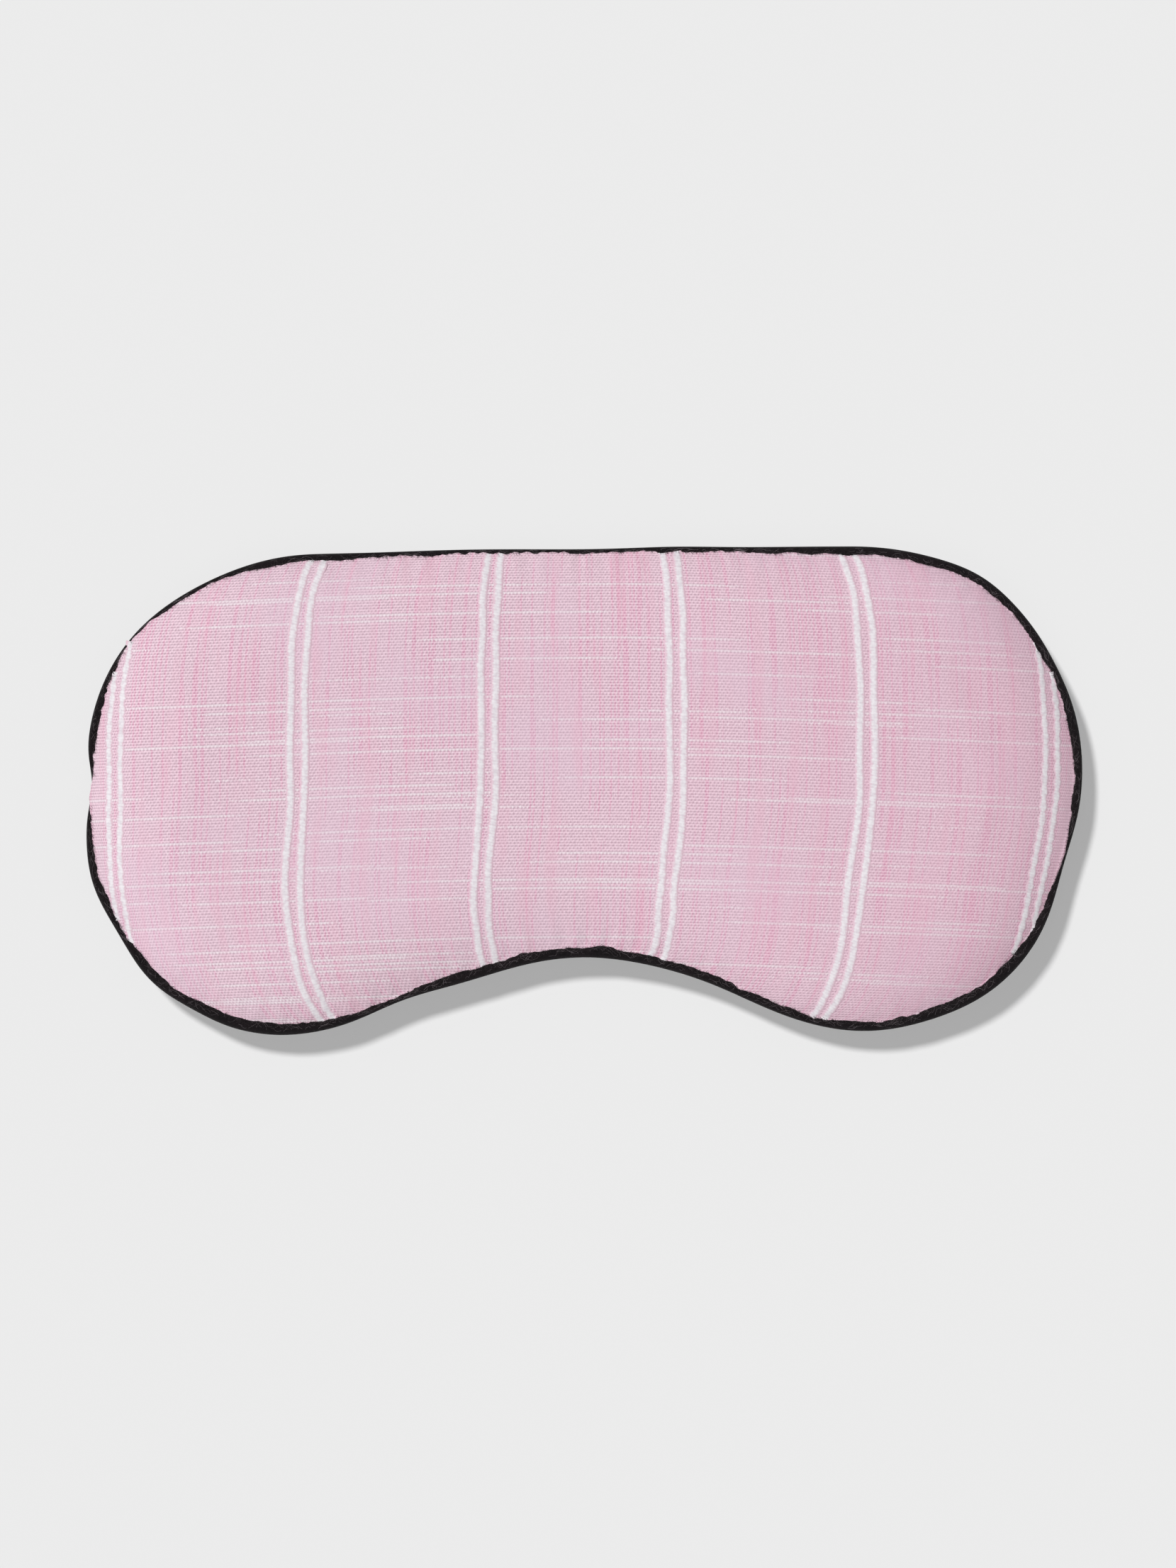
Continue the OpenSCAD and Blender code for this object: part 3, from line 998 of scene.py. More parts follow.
@dataclass
class MaskOutline:
    """The edge of the mask as it lies on the table, clockwise from the middle of the brow."""

    half_width: float
    brow_y: float
    lobe_y: float
    nose_rise: float = 15.5
    lobe_x: float = 60.0
    brow_x: float = 55.0
    brow_sag: float = 0.6
    side_y: float = 2.0
    upper_square: float = 2.15
    lower_square: float = 2.05
    mean_show: float = 1.55
    least_show: float = 0.12
    tufts: tuple[tuple[int, float], ...] = ((9, 0.11), (3, 0.1))
    tuft_seed: int = 11
    stitch_pitch: float = 2.75
    machine_bite: float = 0.05
    hand_bite: float = 0.19
    hand_x: float = -26.0
    hand_reach: float = 20.0
    brow_above: float = 30.0
    samples: int = 2400
    points: Array = field(init=False)
    normals: Array = field(init=False)
    show: Array = field(init=False)
    bite: Array = field(init=False)
    tuft: Array = field(init=False)

    def __post_init__(self) -> None:
        """Lays the pattern on the table and works out how much of the rim shows."""
        flat = even_loop(self._pattern(), self.samples)
        moved = flat + outward(flat) * self.eased(flat, LAY)[:, None]
        self.points = even_loop(moved, self.samples)
        self.normals = outward(self.points)
        share = np.arange(self.samples) / self.samples
        show = self.mean_show + self.eased(self.points, RIM_SHOW)
        show += waves(share, (0.1, 31, 1.1), (0.07, 67, 2.3))
        self.show = np.maximum(show, self.least_show)
        self.bite = self._stitch_bites(share)
        draw = np.random.default_rng(self.tuft_seed)
        self.tuft = np.zeros(self.samples)
        for reach, height in self.tufts:
            noise = even_out(draw.normal(size=self.samples), reach)
            self.tuft += height * noise / noise.std()

    @classmethod
    def from_frame(cls) -> "MaskOutline":
        """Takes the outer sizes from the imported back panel."""
        low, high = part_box("back_panel")
        return cls(half_width=high.x / MM, brow_y=high.y / MM, lobe_y=low.y / MM)

    def _pattern(self, steps: int = 400) -> Array:
        """Draws the paper pattern, as the solids have it.

        Args:
            steps: Points on each of its four curves.

        Returns:
            The closed pattern.
        """
        x = np.linspace(0, self.brow_x, steps)
        sag = self.brow_sag * (1 + np.cos(math.pi * x / self.brow_x)) / 2
        curves = [np.stack([x, self.brow_y - sag], axis=1)]
        for first, last, middle, foot, square in (
            (math.pi / 2, 0, self.brow_x, self.brow_y, self.upper_square),
            (0, -math.pi / 2, self.lobe_x, self.lobe_y, self.lower_square),
        ):
            turn = np.linspace(first, last, steps)
            across = np.abs(np.cos(turn)) ** (2 / square) * (self.half_width - middle)
            up = np.abs(np.sin(turn)) ** (2 / square) * (foot - self.side_y)
            curves.append(np.stack([middle + across, self.side_y + up], axis=1)[1:])
        x = np.linspace(self.lobe_x, 0, steps)
        rise = self.nose_rise * (1 + np.cos(math.pi * x / self.lobe_x)) / 2
        right = np.vstack([*curves, np.stack([x, self.lobe_y + rise], axis=1)[1:]])
        return np.vstack([right, right[-2:0:-1] * (-1, 1)])

    def eased(self, loop: Array, eases: tuple[EdgeEase, ...]) -> Array:
        """Sums the eases along a loop.

        Args:
            loop: Evenly spaced loop.
            eases: The places that differ.

        Returns:
            The amount at each loop point.
        """
        step = np.linalg.norm(loop[1] - loop[0])
        number = np.arange(len(loop))
        total = np.zeros(len(loop))
        for one in eases:
            at = np.linalg.norm(loop - (one.x, one.y), axis=1).argmin()
            gap = np.abs((number - at + len(loop) / 2) % len(loop) - len(loop) / 2) * step
            total += one.amount * np.exp(-((gap / one.spread) ** 2))
        return total

    def _stitch_bites(self, share: Array) -> Array:
        """How far the stitches scallop the edge of the face.

        Args:
            share: Place of each sample round the edge, from 0 to 1.

        Returns:
            The bite at each sample, deeper where the turning gap was closed by hand.
        """
        length = np.linalg.norm(self.points[1] - self.points[0]) * self.samples
        count = round(length / self.stitch_pitch)
        wobble = waves(share, (1.4, 9, 0.0), (0.9, 23, 0.7))
        x, y = self.points.T
        by_hand = np.exp(-(((x - self.hand_x) / self.hand_reach) ** 2)) * (y > self.brow_above)
        frayed = waves(share, (0.11, 97, 3 * wobble), (0.03, 311, -2 * wobble))
        return (self.machine_bite + self.hand_bite * by_hand) * np.cos(TAU * count * share + wobble) + frayed

    def inset(self, depth: Array | float) -> Array:
        """Points of the edge moved inwards by a depth."""
        return self.points - self.normals * np.broadcast_to(depth, self.samples)[:, None]

    def across(self, x: Array) -> tuple[Array, Array]:
        """Brow and lower edge above and below a place.

        Args:
            x: Places across the mask.

        Returns:
            Y of the brow and Y of the lower edge there.
        """
        right = self.points[:, 0].argmax()
        left = self.points[:, 0].argmin()
        brow = np.vstack([self.points[left:], self.points[: right + 1]])
        foot = self.points[right : left + 1][::-1]
        return np.interp(x, *brow.T), np.interp(x, *foot.T)


@dataclass(frozen=True)
class Levels:
    """Heights that the pieces share, as the solids have them."""

    rim: float = 7.1
    rim_radius: float = 1.6
    belly: float = 4.2
    belly_round: float = 24.0
    back_thickness: float = 1.2

    def back_under(self, depth: Array) -> Array:
        """Underside of the back at a depth past its rim."""
        start = self.rim - self.rim_radius
        return start - self.belly * swell(depth - self.rim_radius, self.belly_round)


LEVELS = Levels()
MIDDLE = np.array([0.0, 4.0])


def mask_lattice(edge: Array, rows: int, columns: int, crowd: float = 0.35) -> Array:
    """Spreads a lattice over the inside of an edge.

    Args:
        edge: Clockwise loop, which the lattice's border follows.
        rows: Steps up.
        columns: Steps across.
        crowd: How much closer the steps lie near the edge.

    Returns:
        X and Y by row and column.
    """
    a = np.linspace(-1, 1, columns + 1)[None, :]
    b = np.linspace(-1, 1, rows + 1)[:, None]
    x, y = a * np.sqrt(1 - b * b / 2), b * np.sqrt(1 - a * a / 2)
    share = np.hypot(x, y)
    wide, high = np.abs(edge - MIDDLE).max(0)
    angle = np.arctan2(y * high, x * wide)
    out = edge - MIDDLE
    reach = np.interp(angle, np.arctan2(out[:, 1], out[:, 0]), np.hypot(*out.T), period=TAU)
    reach = reach * share * (1 + crowd * (1 - share))
    return MIDDLE + np.stack([np.cos(angle), np.sin(angle)], axis=-1) * reach[..., None]


@dataclass
class FacePanel:
    """The woven face: cut cloth sewn round its edge, swollen by the wadding and puckered by the seam."""

    outline: MaskOutline
    columns: int = 300
    rows: int = 150
    edge_z: float = 8.0
    rise: float = 4.2
    round: float = 17.0
    fullness: float = 2.3
    bridge_dip: float = 1.0
    bridge_w: float = 26.0
    thickness: float = 0.5
    seam_smooth: int = 40
    seam_allowance: float = 0.3
    least_rim: float = 0.05
    scallop_fade: float = 0.8
    settle_columns: int = 110
    settle_rows: int = 56
    settle_frames: int = 22
    settle_cap: float = 0.4
    settle_evening: int = 6
    spare_cloth: float = 0.02
    pucker_reach: float = 6.0
    pucker_depth: float = 0.1
    pucker_fade: float = 4.0
    pucker_waves: tuple[float, float] = (5.6, 3.4)
    stripe_pitch: float = 39.2
    stripe_gap: float = 2.95
    stripe_aside: tuple[float, ...] = (0.65, 0.75, 0.65, 0.1, 0.0, 0.0)
    outer_gap: float = 1.2
    stripe_sway: float = 0.12
    sway_rate: float = 0.21
    sway_apart: tuple[float, float] = (2.1, 3.0)
    stripe_pairs: tuple[int, ...] = (-3, -2, -1, 0, 1, 2)
    brow_gather: float = 0.083
    foot_gather: float = 0.158
    brow_spare: float = 1.5
    side_reach: float = 11.0
    side_spare: tuple[float, float] = (3.4, 1.5)
    side_calm: tuple[float, float, float] = (0.6, 55.0, 42.0)
    brow_fade: float = 8.4
    foot_fade: tuple[float, float, float] = (12.8, 10.0, 28.0)
    aside: float = 0.75
    lean: tuple[float, float, float] = (1.82, 2.0, 26.0)
    arch: tuple[float, float] = (0.05, 50.0)
    spare_fade: float = 5.0
    seam: Array = field(init=False)
    hem: Array = field(init=False)
    drawn: Array = field(init=False)
    skin: Array = field(init=False)
    cloth: Array = field(init=False)

    def __post_init__(self) -> None:
        """Finds the seam line, the hem that shows past it, and how far the stitches draw the hem in."""
        count = self.outline.samples
        over = self.outline.eased(self.outline.points, HEM_OVER)
        even = even_out(self.outline.show, self.seam_smooth) - over
        sewn = even + self.seam_allowance
        self.seam = even_loop(self.outline.inset(sewn), count)
        self.hem = even_loop(self.outline.inset(even), count)
        hem = self.outline.show + self.outline.bite - over
        self.drawn = np.clip(hem, self.least_rim - over, sewn) - even

    def crown(self, xy: Array) -> Array:
        """Height of the face before it settles.

        Args:
            xy: Places on it.

        Returns:
            Height of each place.
        """
        lift = self.rise - self.bridge_dip * np.exp(-((xy[..., 0] / self.bridge_w) ** 2))
        left = 1 - np.clip(depth_inside(self.seam, xy) / self.round, 0, 1)
        return self.edge_z + lift * (1 - left**self.fullness)

    def lattice(self, rows: int, columns: int) -> Array:
        """Spreads a lattice over the face, scalloped by the stitches along its hem.

        Args:
            rows: Steps up.
            columns: Steps across.

        Returns:
            X and Y by row and column.
        """
        xy = mask_lattice(self.hem, rows, columns)
        near = nearest(self.outline.points, xy)
        pull = self.drawn[near] * np.exp(-depth_inside(self.hem, xy) / self.scallop_fade)
        return xy - self.outline.normals[near] * pull[..., None]

    def fabric(self, xy: Array) -> Array:
        """Place of each point on the flat cloth, before the seam gathered it.

        The yarns stay nearly straight seen from above, and crowd where the face slopes down to its sides.

        Args:
            xy: Places on the face.

        Returns:
            Distance across the warp and along it.
        """
        x, y = xy[..., 0], xy[..., 1]
        brow, foot = self.outline.across(x)
        calm, calm_from, calm_run = self.side_calm
        straight = 1 - calm * ease((np.abs(x) - calm_from) / calm_run)
        fade, nose_less, nose_half = self.foot_fade
        fade = fade - nose_less * np.exp(-((x / nose_half) ** 2))
        gather = self.brow_gather * np.exp(-np.maximum(brow - y, 0) / self.brow_fade)
        gather += self.foot_gather * np.exp(-np.maximum(y - foot, 0) / fade)
        low, high = self.seam.min(0), self.seam.max(0)
        left, right = (np.maximum(1 - room / self.side_reach, 0) ** 2 for room in (x - low[0], high[0] - x))
        crowded = self.side_spare[1] * right - self.side_spare[0] * left
        lean, lean_from, lean_run = self.lean
        aside = self.aside + lean * ease((lean_from - y) / lean_run)
        across = (x + aside) / (1 - gather * straight) + crowded
        slope, bend = self.arch
        arch = -slope * np.sqrt(x * x + bend * bend)
        ends = np.exp((y - high[1]) / self.spare_fade) - np.exp((low[1] - y) / self.spare_fade)
        return np.stack([across, y - arch + self.brow_spare * ends], axis=-1)

    def _settled(self) -> Array:
        """Swells the sewn cloth in a simulation.

        Returns:
            How far each point of a coarse lattice rose, in millimetres.
        """
        xy = self.lattice(self.settle_rows, self.settle_columns)
        still = np.dstack([xy, self.crown(xy)])
        faces, border = lattice_faces(self.settle_rows, self.settle_columns)
        mesh = bpy.data.meshes.new("face_settling")
        mesh.from_pydata((still.reshape(-1, 3) * MM).tolist(), [], faces)
        cut = link("face_settling", mesh)
        cut.vertex_groups.new(name="sewn").add(border, 1.0, "REPLACE")
        gathered = cut.vertex_groups.new(name="gathered")
        for number, depth in enumerate(depth_inside(self.seam, xy).ravel()):
            gathered.add([number], float(np.exp(-depth / self.pucker_reach)), "REPLACE")
        cloth = cut.modifiers.new("cloth", "CLOTH")
        cotton = dict(quality=6, mass=0.15, tension_stiffness=15, compression_stiffness=15, shear_stiffness=5,
                      bending_stiffness=0.3, air_damping=2)
        sewing = dict(vertex_group_mass="sewn", vertex_group_shrink="gathered", shrink_min=0.0,
                      shrink_max=-self.spare_cloth, use_pressure=True, uniform_pressure_force=4)
        for name, value in (cotton | sewing).items():
            setattr(cloth.settings, name, value)
        cloth.settings.effector_weights.gravity = 0
        cloth.collision_settings.use_collision = False
        cloth.point_cache.frame_start = 1
        cloth.point_cache.frame_end = self.settle_frames
        scene = bpy.context.scene
        for number in range(1, self.settle_frames + 1):
            scene.frame_set(number)
        depsgraph = bpy.context.evaluated_depsgraph_get()
        swollen = np.empty(len(mesh.vertices) * 3, np.float32)
        cut.evaluated_get(depsgraph).data.vertices.foreach_get("co", swollen)
        bpy.data.objects.remove(cut)
        scene.frame_set(1)
        rose = swollen.reshape(still.shape)[..., 2] / MM - still[..., 2]
        for _ in range(self.settle_evening):
            around = rose[:-2, 1:-1] + rose[2:, 1:-1] + rose[1:-1, :-2] + rose[1:-1, 2:]
            rose[1:-1, 1:-1] = (rose[1:-1, 1:-1] + around / 4) / 2
        log.info("face settled: rose %.2f mm at most, %.2f on average", rose.max(), rose.mean())
        return self.settle_cap * np.tanh(rose / self.settle_cap)

    def _puckers(self, xy: Array) -> Array:
        """Small folds that the stitches draw along the brow and the lower edge, too fine for the simulation.

        Args:
            xy: Places on the face.

        Returns:
            How far each place rises.
        """
        near = nearest(self.seam, xy)
        depth = depth_inside(self.seam, xy)
        share = near / len(self.seam)
        length = np.linalg.norm(self.seam[1] - self.seam[0]) * len(self.seam)
        broad, fine = (round(length / wave) for wave in self.pucker_waves)
        swerves = waves(share, (1.7, 14, 0.0)), waves(share, (2.1, 23, 0.0)) + 1
        folds = waves(share, (1.0, broad, swerves[0]), (0.7, fine, swerves[1]))
        level = outward(self.seam)[near, 1] ** 2
        return self.pucker_depth * level * folds * np.exp(-depth / self.pucker_fade) * ease(depth)

    def build(self, finish: Material) -> Object:
        """Builds the face as a thin closed shell.

        Args:
            finish: Its woven material.

        Returns:
            The finished piece.
        """
        xy = self.lattice(self.rows, self.columns)
        self.skin = np.dstack([xy, self.crown(xy) + self._puckers(xy)])
        self.cloth = self.fabric(xy)
        self.skin[..., 2] += spread_lattice(self._settled(), self.rows, self.columns)
        inner = self.skin - (0, 0, self.thickness)
        points, faces = closed_shell(self.skin, inner)
        uv = np.vstack([self.cloth.reshape(-1, 2)] * 2)
        return make_piece("face_cloth", points, faces, finish, uv)

    def stripes(self, sink: float) -> dict[int, tuple[list[Array], list[Array]]]:
        """Follows the woven-in cords over the face.

        Args:
            sink: How far the middle of a cord lies under the surface.

        Returns:
            The paths of the two cords of each pair, and the way up along them, by pair.
        """
        normal = np.cross(np.gradient(self.skin, axis=1), np.gradient(self.skin, axis=0))
        normal /= np.maximum(np.linalg.norm(normal, axis=-1, keepdims=True), 1e-9)
        both = np.concatenate([self.skin, normal], axis=-1)
        found: dict[int, tuple[list[Array], list[Array]]] = {}
        for pair, aside in zip(self.stripe_pairs, self.stripe_aside):
            found[pair] = ([], [])
            gap = self.stripe_gap * (self.outer_gap if self.is_outer(pair) else 1)
            for shift in (-0.5, 0.5):
                middle = self.stripe_pitch * (pair + 0.5) + aside + shift * gap
                path = []
                for number, (line, reach) in enumerate(zip(both, self.cloth[..., 0])):
                    phase = self.sway_rate * number + np.dot(self.sway_apart, (pair, shift))
                    want = middle + self.stripe_sway * math.sin(phase)
                    if reach.min() < want < reach.max():
                        at = np.interp(want, np.maximum.accumulate(reach), np.arange(len(reach)))
                        k = min(int(at), len(reach) - 2)
                        path.append(line[k] + (line[k + 1] - line[k]) * (at - k))
                places, lifts = np.hsplit(np.array(path), 2)
                found[pair][0].append(places - lifts * sink)
                found[pair][1].append(lifts)
        return found

    def is_outer(self, pair: int) -> bool:
        """Whether a pair of cords is the first or the last one."""
        return pair in (self.stripe_pairs[0], self.stripe_pairs[-1])


@dataclass
class BackPanel:
    """The fleece back: a belly under the padding, rolled up round the edge as a rim."""

    outline: MaskOutline
    skip: int = 2
    roll_steps: int = 26
    belly_rings: int = 24
    inner_rings: int = 12
    full_show: float = 1.6
    least_rise: float = 0.3
    tuck: float = 1.7
    nap_rings: tuple[int, int] = (5, 10)
    stray_count: int = 900
    stray_seed: int = 5
    stray_steps: int = 9
    stray_length: tuple[float, float] = (0.6, 2.2)
    stray_ends: tuple[float, float] = (0.3, 1.15)
    stray_curl: float = 0.3
    stray_lift: tuple[float, float] = (0.02, 0.2)
    roll_share: tuple[float, ...] = (0.25, 0.62, 0.95, 1.2)
    roll_top: tuple[float, ...] = (1.25, 1.55, 1.3, 1.3)
    fringe_count: int = 5000
    fringe_seed: int = 9
    fringe_length: tuple[float, float] = (0.25, 0.75)
    fringe_slant: float = 0.8
    fringe_root: tuple[float, float] = (0.55, 1.0)
    fringe_bend: float = 0.12
    fringe_low: tuple[float, float] = (1.15, 1.3)
    fringe_lift: float = 0.25
    fringe_arch: tuple[float, float, float] = (-0.3, 0.15, 0.05)

    def rise(self, show: Array | float) -> Array:
        """How high the rim rolls, as a share: a narrow rim stays below the face."""
        return self.least_rise + (1 - self.least_rise) * np.minimum(1, show / self.full_show)

    def _profile(self, show: float) -> Array:
        """Rolled rim from under the face, over its top and down to the belly.

        Args:
            show: Width of rim that shows.

        Returns:
            Depth and height of each point of the roll.
        """
        rim = LEVELS.rim
        rise = self.rise(show)
        knots = np.array([
            (show + 1.3, rim - 0.6),
            (show + 0.9, rim + 0.1),
            (show + 0.35, rim + 0.75 * rise),
            (show * 0.95, rim + 1.2 * rise),
            (show * 0.62, rim + 1.5 * rise),
            (show * 0.3, rim + 1.3 * rise),
            (show * 0.08, rim + 0.75 * rise),
            (0.0, rim + 0.1),
            (0.05, rim - 0.6),
            (0.4, rim - 1.1),
            (1.0, rim - 1.45),
            (self.tuck, rim - 2.0),
        ])
        return spread_lattice(knots[:, None, :], self.roll_steps, 1)[:, 0]

    def _rings(self) -> tuple[list[Array], int]:
        """Rings of the shell from the tucked edge round to the belly's middle and back inside.

        Returns:
            The rings, and how many of them make the roll.
        """
        points = self.outline.points[:: self.skip]
        normals = self.outline.normals[:: self.skip]
        shown = self.outline.show + self.outline.tuft * np.minimum(1, self.outline.show)
        rolls = np.stack([self._profile(width) for width in shown[:: self.skip]])
        rings = [np.column_stack([points - normals * d[:, None], z])
                 for d, z in zip(rolls[..., 0].T, rolls[..., 1].T)]
        roll = len(rings)
        outer = points - normals * self.tuck
        inside = points - normals * rolls[:, 0, :1]
        for edge, shares, lift in (
            (outer, np.linspace(1, 0, self.belly_rings + 1), 0.0),
            (inside, np.linspace(0, 1, self.inner_rings + 1), LEVELS.back_thickness),
        ):
            for share in shares[1:-1]:
                xy = MIDDLE + (edge - MIDDLE) * share
                under = LEVELS.back_under(depth_inside(self.outline.points, xy))
                rings.append(np.column_stack([xy, under + lift]))
        return rings, roll

    def build(self, finish: Material) -> tuple[Object, Object]:
        """Builds the back and the strip of it that carries the loose fibres.

        Args:
            finish: The fleece.

        Returns:
            The back panel, and the rim strip for the fibres to stand on.
        """
        rings, roll = self._rings()
        count = len(rings[0])
        here = np.arange(count)
        after = np.roll(here, -1)
        faces: list = []
        last_belly = roll + self.belly_rings - 2
        for k in range(len(rings)):
            if k == last_belly:
                continue
            low, high = k * count, ((k + 1) % len(rings)) * count
            faces += np.stack([low + here, low + after, high + after, high + here], axis=1).tolist()
        corners = np.vstack(rings)
        poles = []
        for ring, sign in ((last_belly, 1), (last_belly + 1, -1)):
            pole = np.full(count, len(corners) + len(poles))
            poles.append(rings[ring].mean(0))
            fan = np.stack([ring * count + here, ring * count + after, pole], axis=1)
            faces += fan[:, ::sign].tolist()
        strip = faces[count * self.nap_rings[0] : count * self.nap_rings[1]]
        panel = make_piece("fleece_back", np.vstack([corners, poles]), faces, finish)
        return panel, make_piece("rim_strip", corners, strip, finish)

    def strays(self) -> list[Array]:
        """Lays single long fibres along the rolled rim.

        Returns:
            Path of each fibre.
        """
        draw = np.random.default_rng(self.stray_seed)
        points, normals, show = self.outline.points, self.outline.normals, self.outline.show
        step = np.linalg.norm(points[1] - points[0])
        count = self.stray_steps
        paths = []
        for first in draw.integers(0, len(points), self.stray_count):
            reach = draw.uniform(*self.stray_length) / step
            at = (first + np.linspace(0, reach, count).astype(int)) % len(points)
            from_edge, to_edge = draw.uniform(*self.stray_ends, 2)
            curl = draw.uniform(-self.stray_curl, self.stray_curl) * np.sin(np.linspace(0, math.pi, count))
            share = np.linspace(from_edge, to_edge, count) + curl
            share = np.clip(share, self.roll_share[0], self.roll_share[-1])
            high = np.interp(share, self.roll_share, self.roll_top) * self.rise(show[at])
            xy = points[at] - normals[at] * (share * show[at])[:, None]
            paths.append(np.column_stack([xy, LEVELS.rim + high + draw.uniform(*self.stray_lift)]))
        return paths

    def fringe(self) -> list[Array]:
        """Lays short fibres from the inner edge of the rim over the face.

        Returns:
            Path of each fibre.
        """
        draw = np.random.default_rng(self.fringe_seed)
        points, normals, show = self.outline.points, self.outline.normals, self.outline.show
        paths = []
        chance = np.minimum(show / self.full_show, 1) ** 2
        for at in draw.choice(len(points), self.fringe_count, p=chance / chance.sum()):
            inwards = -normals[at]
            slant = draw.normal(0, self.fringe_slant)
            way = inwards + slant * np.array([-inwards[1], inwards[0]])
            way *= draw.uniform(*self.fringe_length) / np.linalg.norm(way)
            root = points[at] + inwards * show[at] * draw.uniform(*self.fringe_root)
            bend = draw.normal(0, self.fringe_bend, 2)
            middle, tip = root + 0.5 * way + bend, root + way
            roll = max(self.fringe_low[1] * self.rise(show[at]), self.fringe_low[0])
            low = LEVELS.rim + roll + draw.uniform(0, self.fringe_lift)
            high = low + np.array(self.fringe_arch)
            paths.append(np.column_stack([np.stack([root, middle, tip]), high]))
        return paths


@dataclass
class ElasticStrap:
    """One half of the elastic strap, from its tack to the middle of the back."""

    side: Side
    half_length: float = 96.0
    mask_half: float = 102.5
    low_y: float = -8.0
    high_y: float = 12.0
    thickness: float = 1.0
    gap: float = 0.3
    flat_half: float = 76.9
    ribs: int = 9
    rib_depth: float = 0.2
    rib_power: float = 0.6
    edge_round: float = 0.9
    thread_sink: float = 0.08
    along: int = 120
    over: int = 72
    hold: float = 88.0

    def under(self, x: Array) -> Array:
        """Underside of the strap at a distance from the middle."""
        follow = LEVELS.back_under(self.mask_half - np.abs(x)) - self.gap - self.thickness
        return np.where(np.abs(x) < self.flat_half, 0.0, np.maximum(follow, 0.0))

    def build(self, finish: Material) -> Object:
        """Builds the ribbed band and bends it between the mask and the strap.

        Args:
            finish: The knitted elastic.

        Returns:
            The finished half.
        """
        x = np.linspace(0, self.half_length, self.along + 1)
        share = np.linspace(0, 1, self.over + 1)
        width = self.high_y - self.low_y
        y = self.low_y + width * share
        rib = np.abs(np.sin(math.pi * self.ribs * share)) ** self.rib_power
        edge = swell(np.minimum(share, 1 - share) * width, self.edge_round)
        half = self.thickness / 2 * edge * (1 - self.rib_depth + self.rib_depth * rib)
        middle = self.under(x) + self.thickness / 2
        ring_y = np.r_[y, y[-2:0:-1]]
        ring_z = np.r_[half, -half[-2:0:-1]]
        count = len(ring_y)
        points = np.stack([
            np.repeat(x * self.side.value, count),
            np.tile(ring_y, len(x)),
            np.repeat(middle, count) + np.tile(ring_z, len(x)),
        ], axis=1)
        turn = self.side.value
        rings = np.arange(len(points)).reshape(len(x), count)
        after = np.roll(rings, -1, axis=1)
        walls = np.stack([rings[:-1], rings[1:], after[1:], after[:-1]], axis=-1).reshape(-1, 4)
        faces = walls[:, ::turn].tolist()
        faces += [rings[0, ::turn].tolist(), rings[-1, ::-turn].tolist()]
        piece = make_piece(f"strap_half_{self.side.name.lower()}", points, faces, finish, points[:, :2])
        for cap in piece.data.polygons[-2:]:
            cap.use_smooth = False
        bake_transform(piece)
        return piece

    def tack(self, node: str, width: float = 2.0, pitch: float = 0.55, room: float = 0.3) -> Array:
        """Zigzag of the bar tack under the strap's end.

        Args:
            node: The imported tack.
            width: Width of the zigzag.
            pitch: Step of the zigzag along the tack.
            room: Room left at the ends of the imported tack.

        Returns:
            Path of its thread.
        """
        low, high = (np.array(corner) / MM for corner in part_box(node))
        y = np.arange(low[1] + room, high[1] - room, pitch)
        x = (low[0] + high[0]) / 2 + width / 2 * np.where(np.arange(len(y)) % 2, 1, -1)
        return np.stack([x, y, self.under(x) - self.thread_sink], axis=1)


@dataclass
class Filling:
    """What lies inside: a blackout cloth on the back and the wadding over it."""

    face: FacePanel
    rows: int = 44
    columns: int = 88
    inset: float = 4.8
    layer_gap: float = 0.25
    cloth_thickness: float = 0.35
    face_room: float = 1.9
    least_pad: float = 0.4
    samples: int = 1200
    crowd: float = 0.3

    def _floor(self, xy: Array) -> Array:
        """Top of the back panel inside the mask."""
        depth = depth_inside(self.face.outline.points, xy)
        return LEVELS.back_under(depth) + LEVELS.back_thickness + self.layer_gap

    def _lattice(self) -> Array:
        """Lattice inside the seam allowance."""
        edge = even_loop(self.face.outline.inset(self.inset), self.samples)
        return mask_lattice(edge, self.rows, self.columns, self.crowd)

    def interlining(self, finish: Material) -> Object:
        """Builds the blackout cloth as a thin closed sheet.

        Args:
            finish: The dark woven material.

        Returns:
            The finished piece.
        """
        xy = self._lattice()
        low = np.dstack([xy, self._floor(xy)])
        points, faces = closed_shell(low + (0, 0, self.cloth_thickness), low)
        return make_piece("blackout_cloth", points, faces, finish)

    def wadding(self, finish: Material) -> Object:
        """Builds the crowned wadding between the blackout cloth and the face.

        Args:
            finish: The fibrous material.

        Returns:
            The finished piece.
        """
        xy = self._lattice()
        floor = self._floor(xy) + self.cloth_thickness + self.layer_gap
        roof = self.face.crown(xy) - self.face.thickness - self.face_room
        low = np.dstack([xy, floor])
        top = np.dstack([xy, np.maximum(roof, floor + self.least_pad)])
        points, faces = closed_shell(top, low)
        return make_piece("wadding_pad", points, faces, finish)


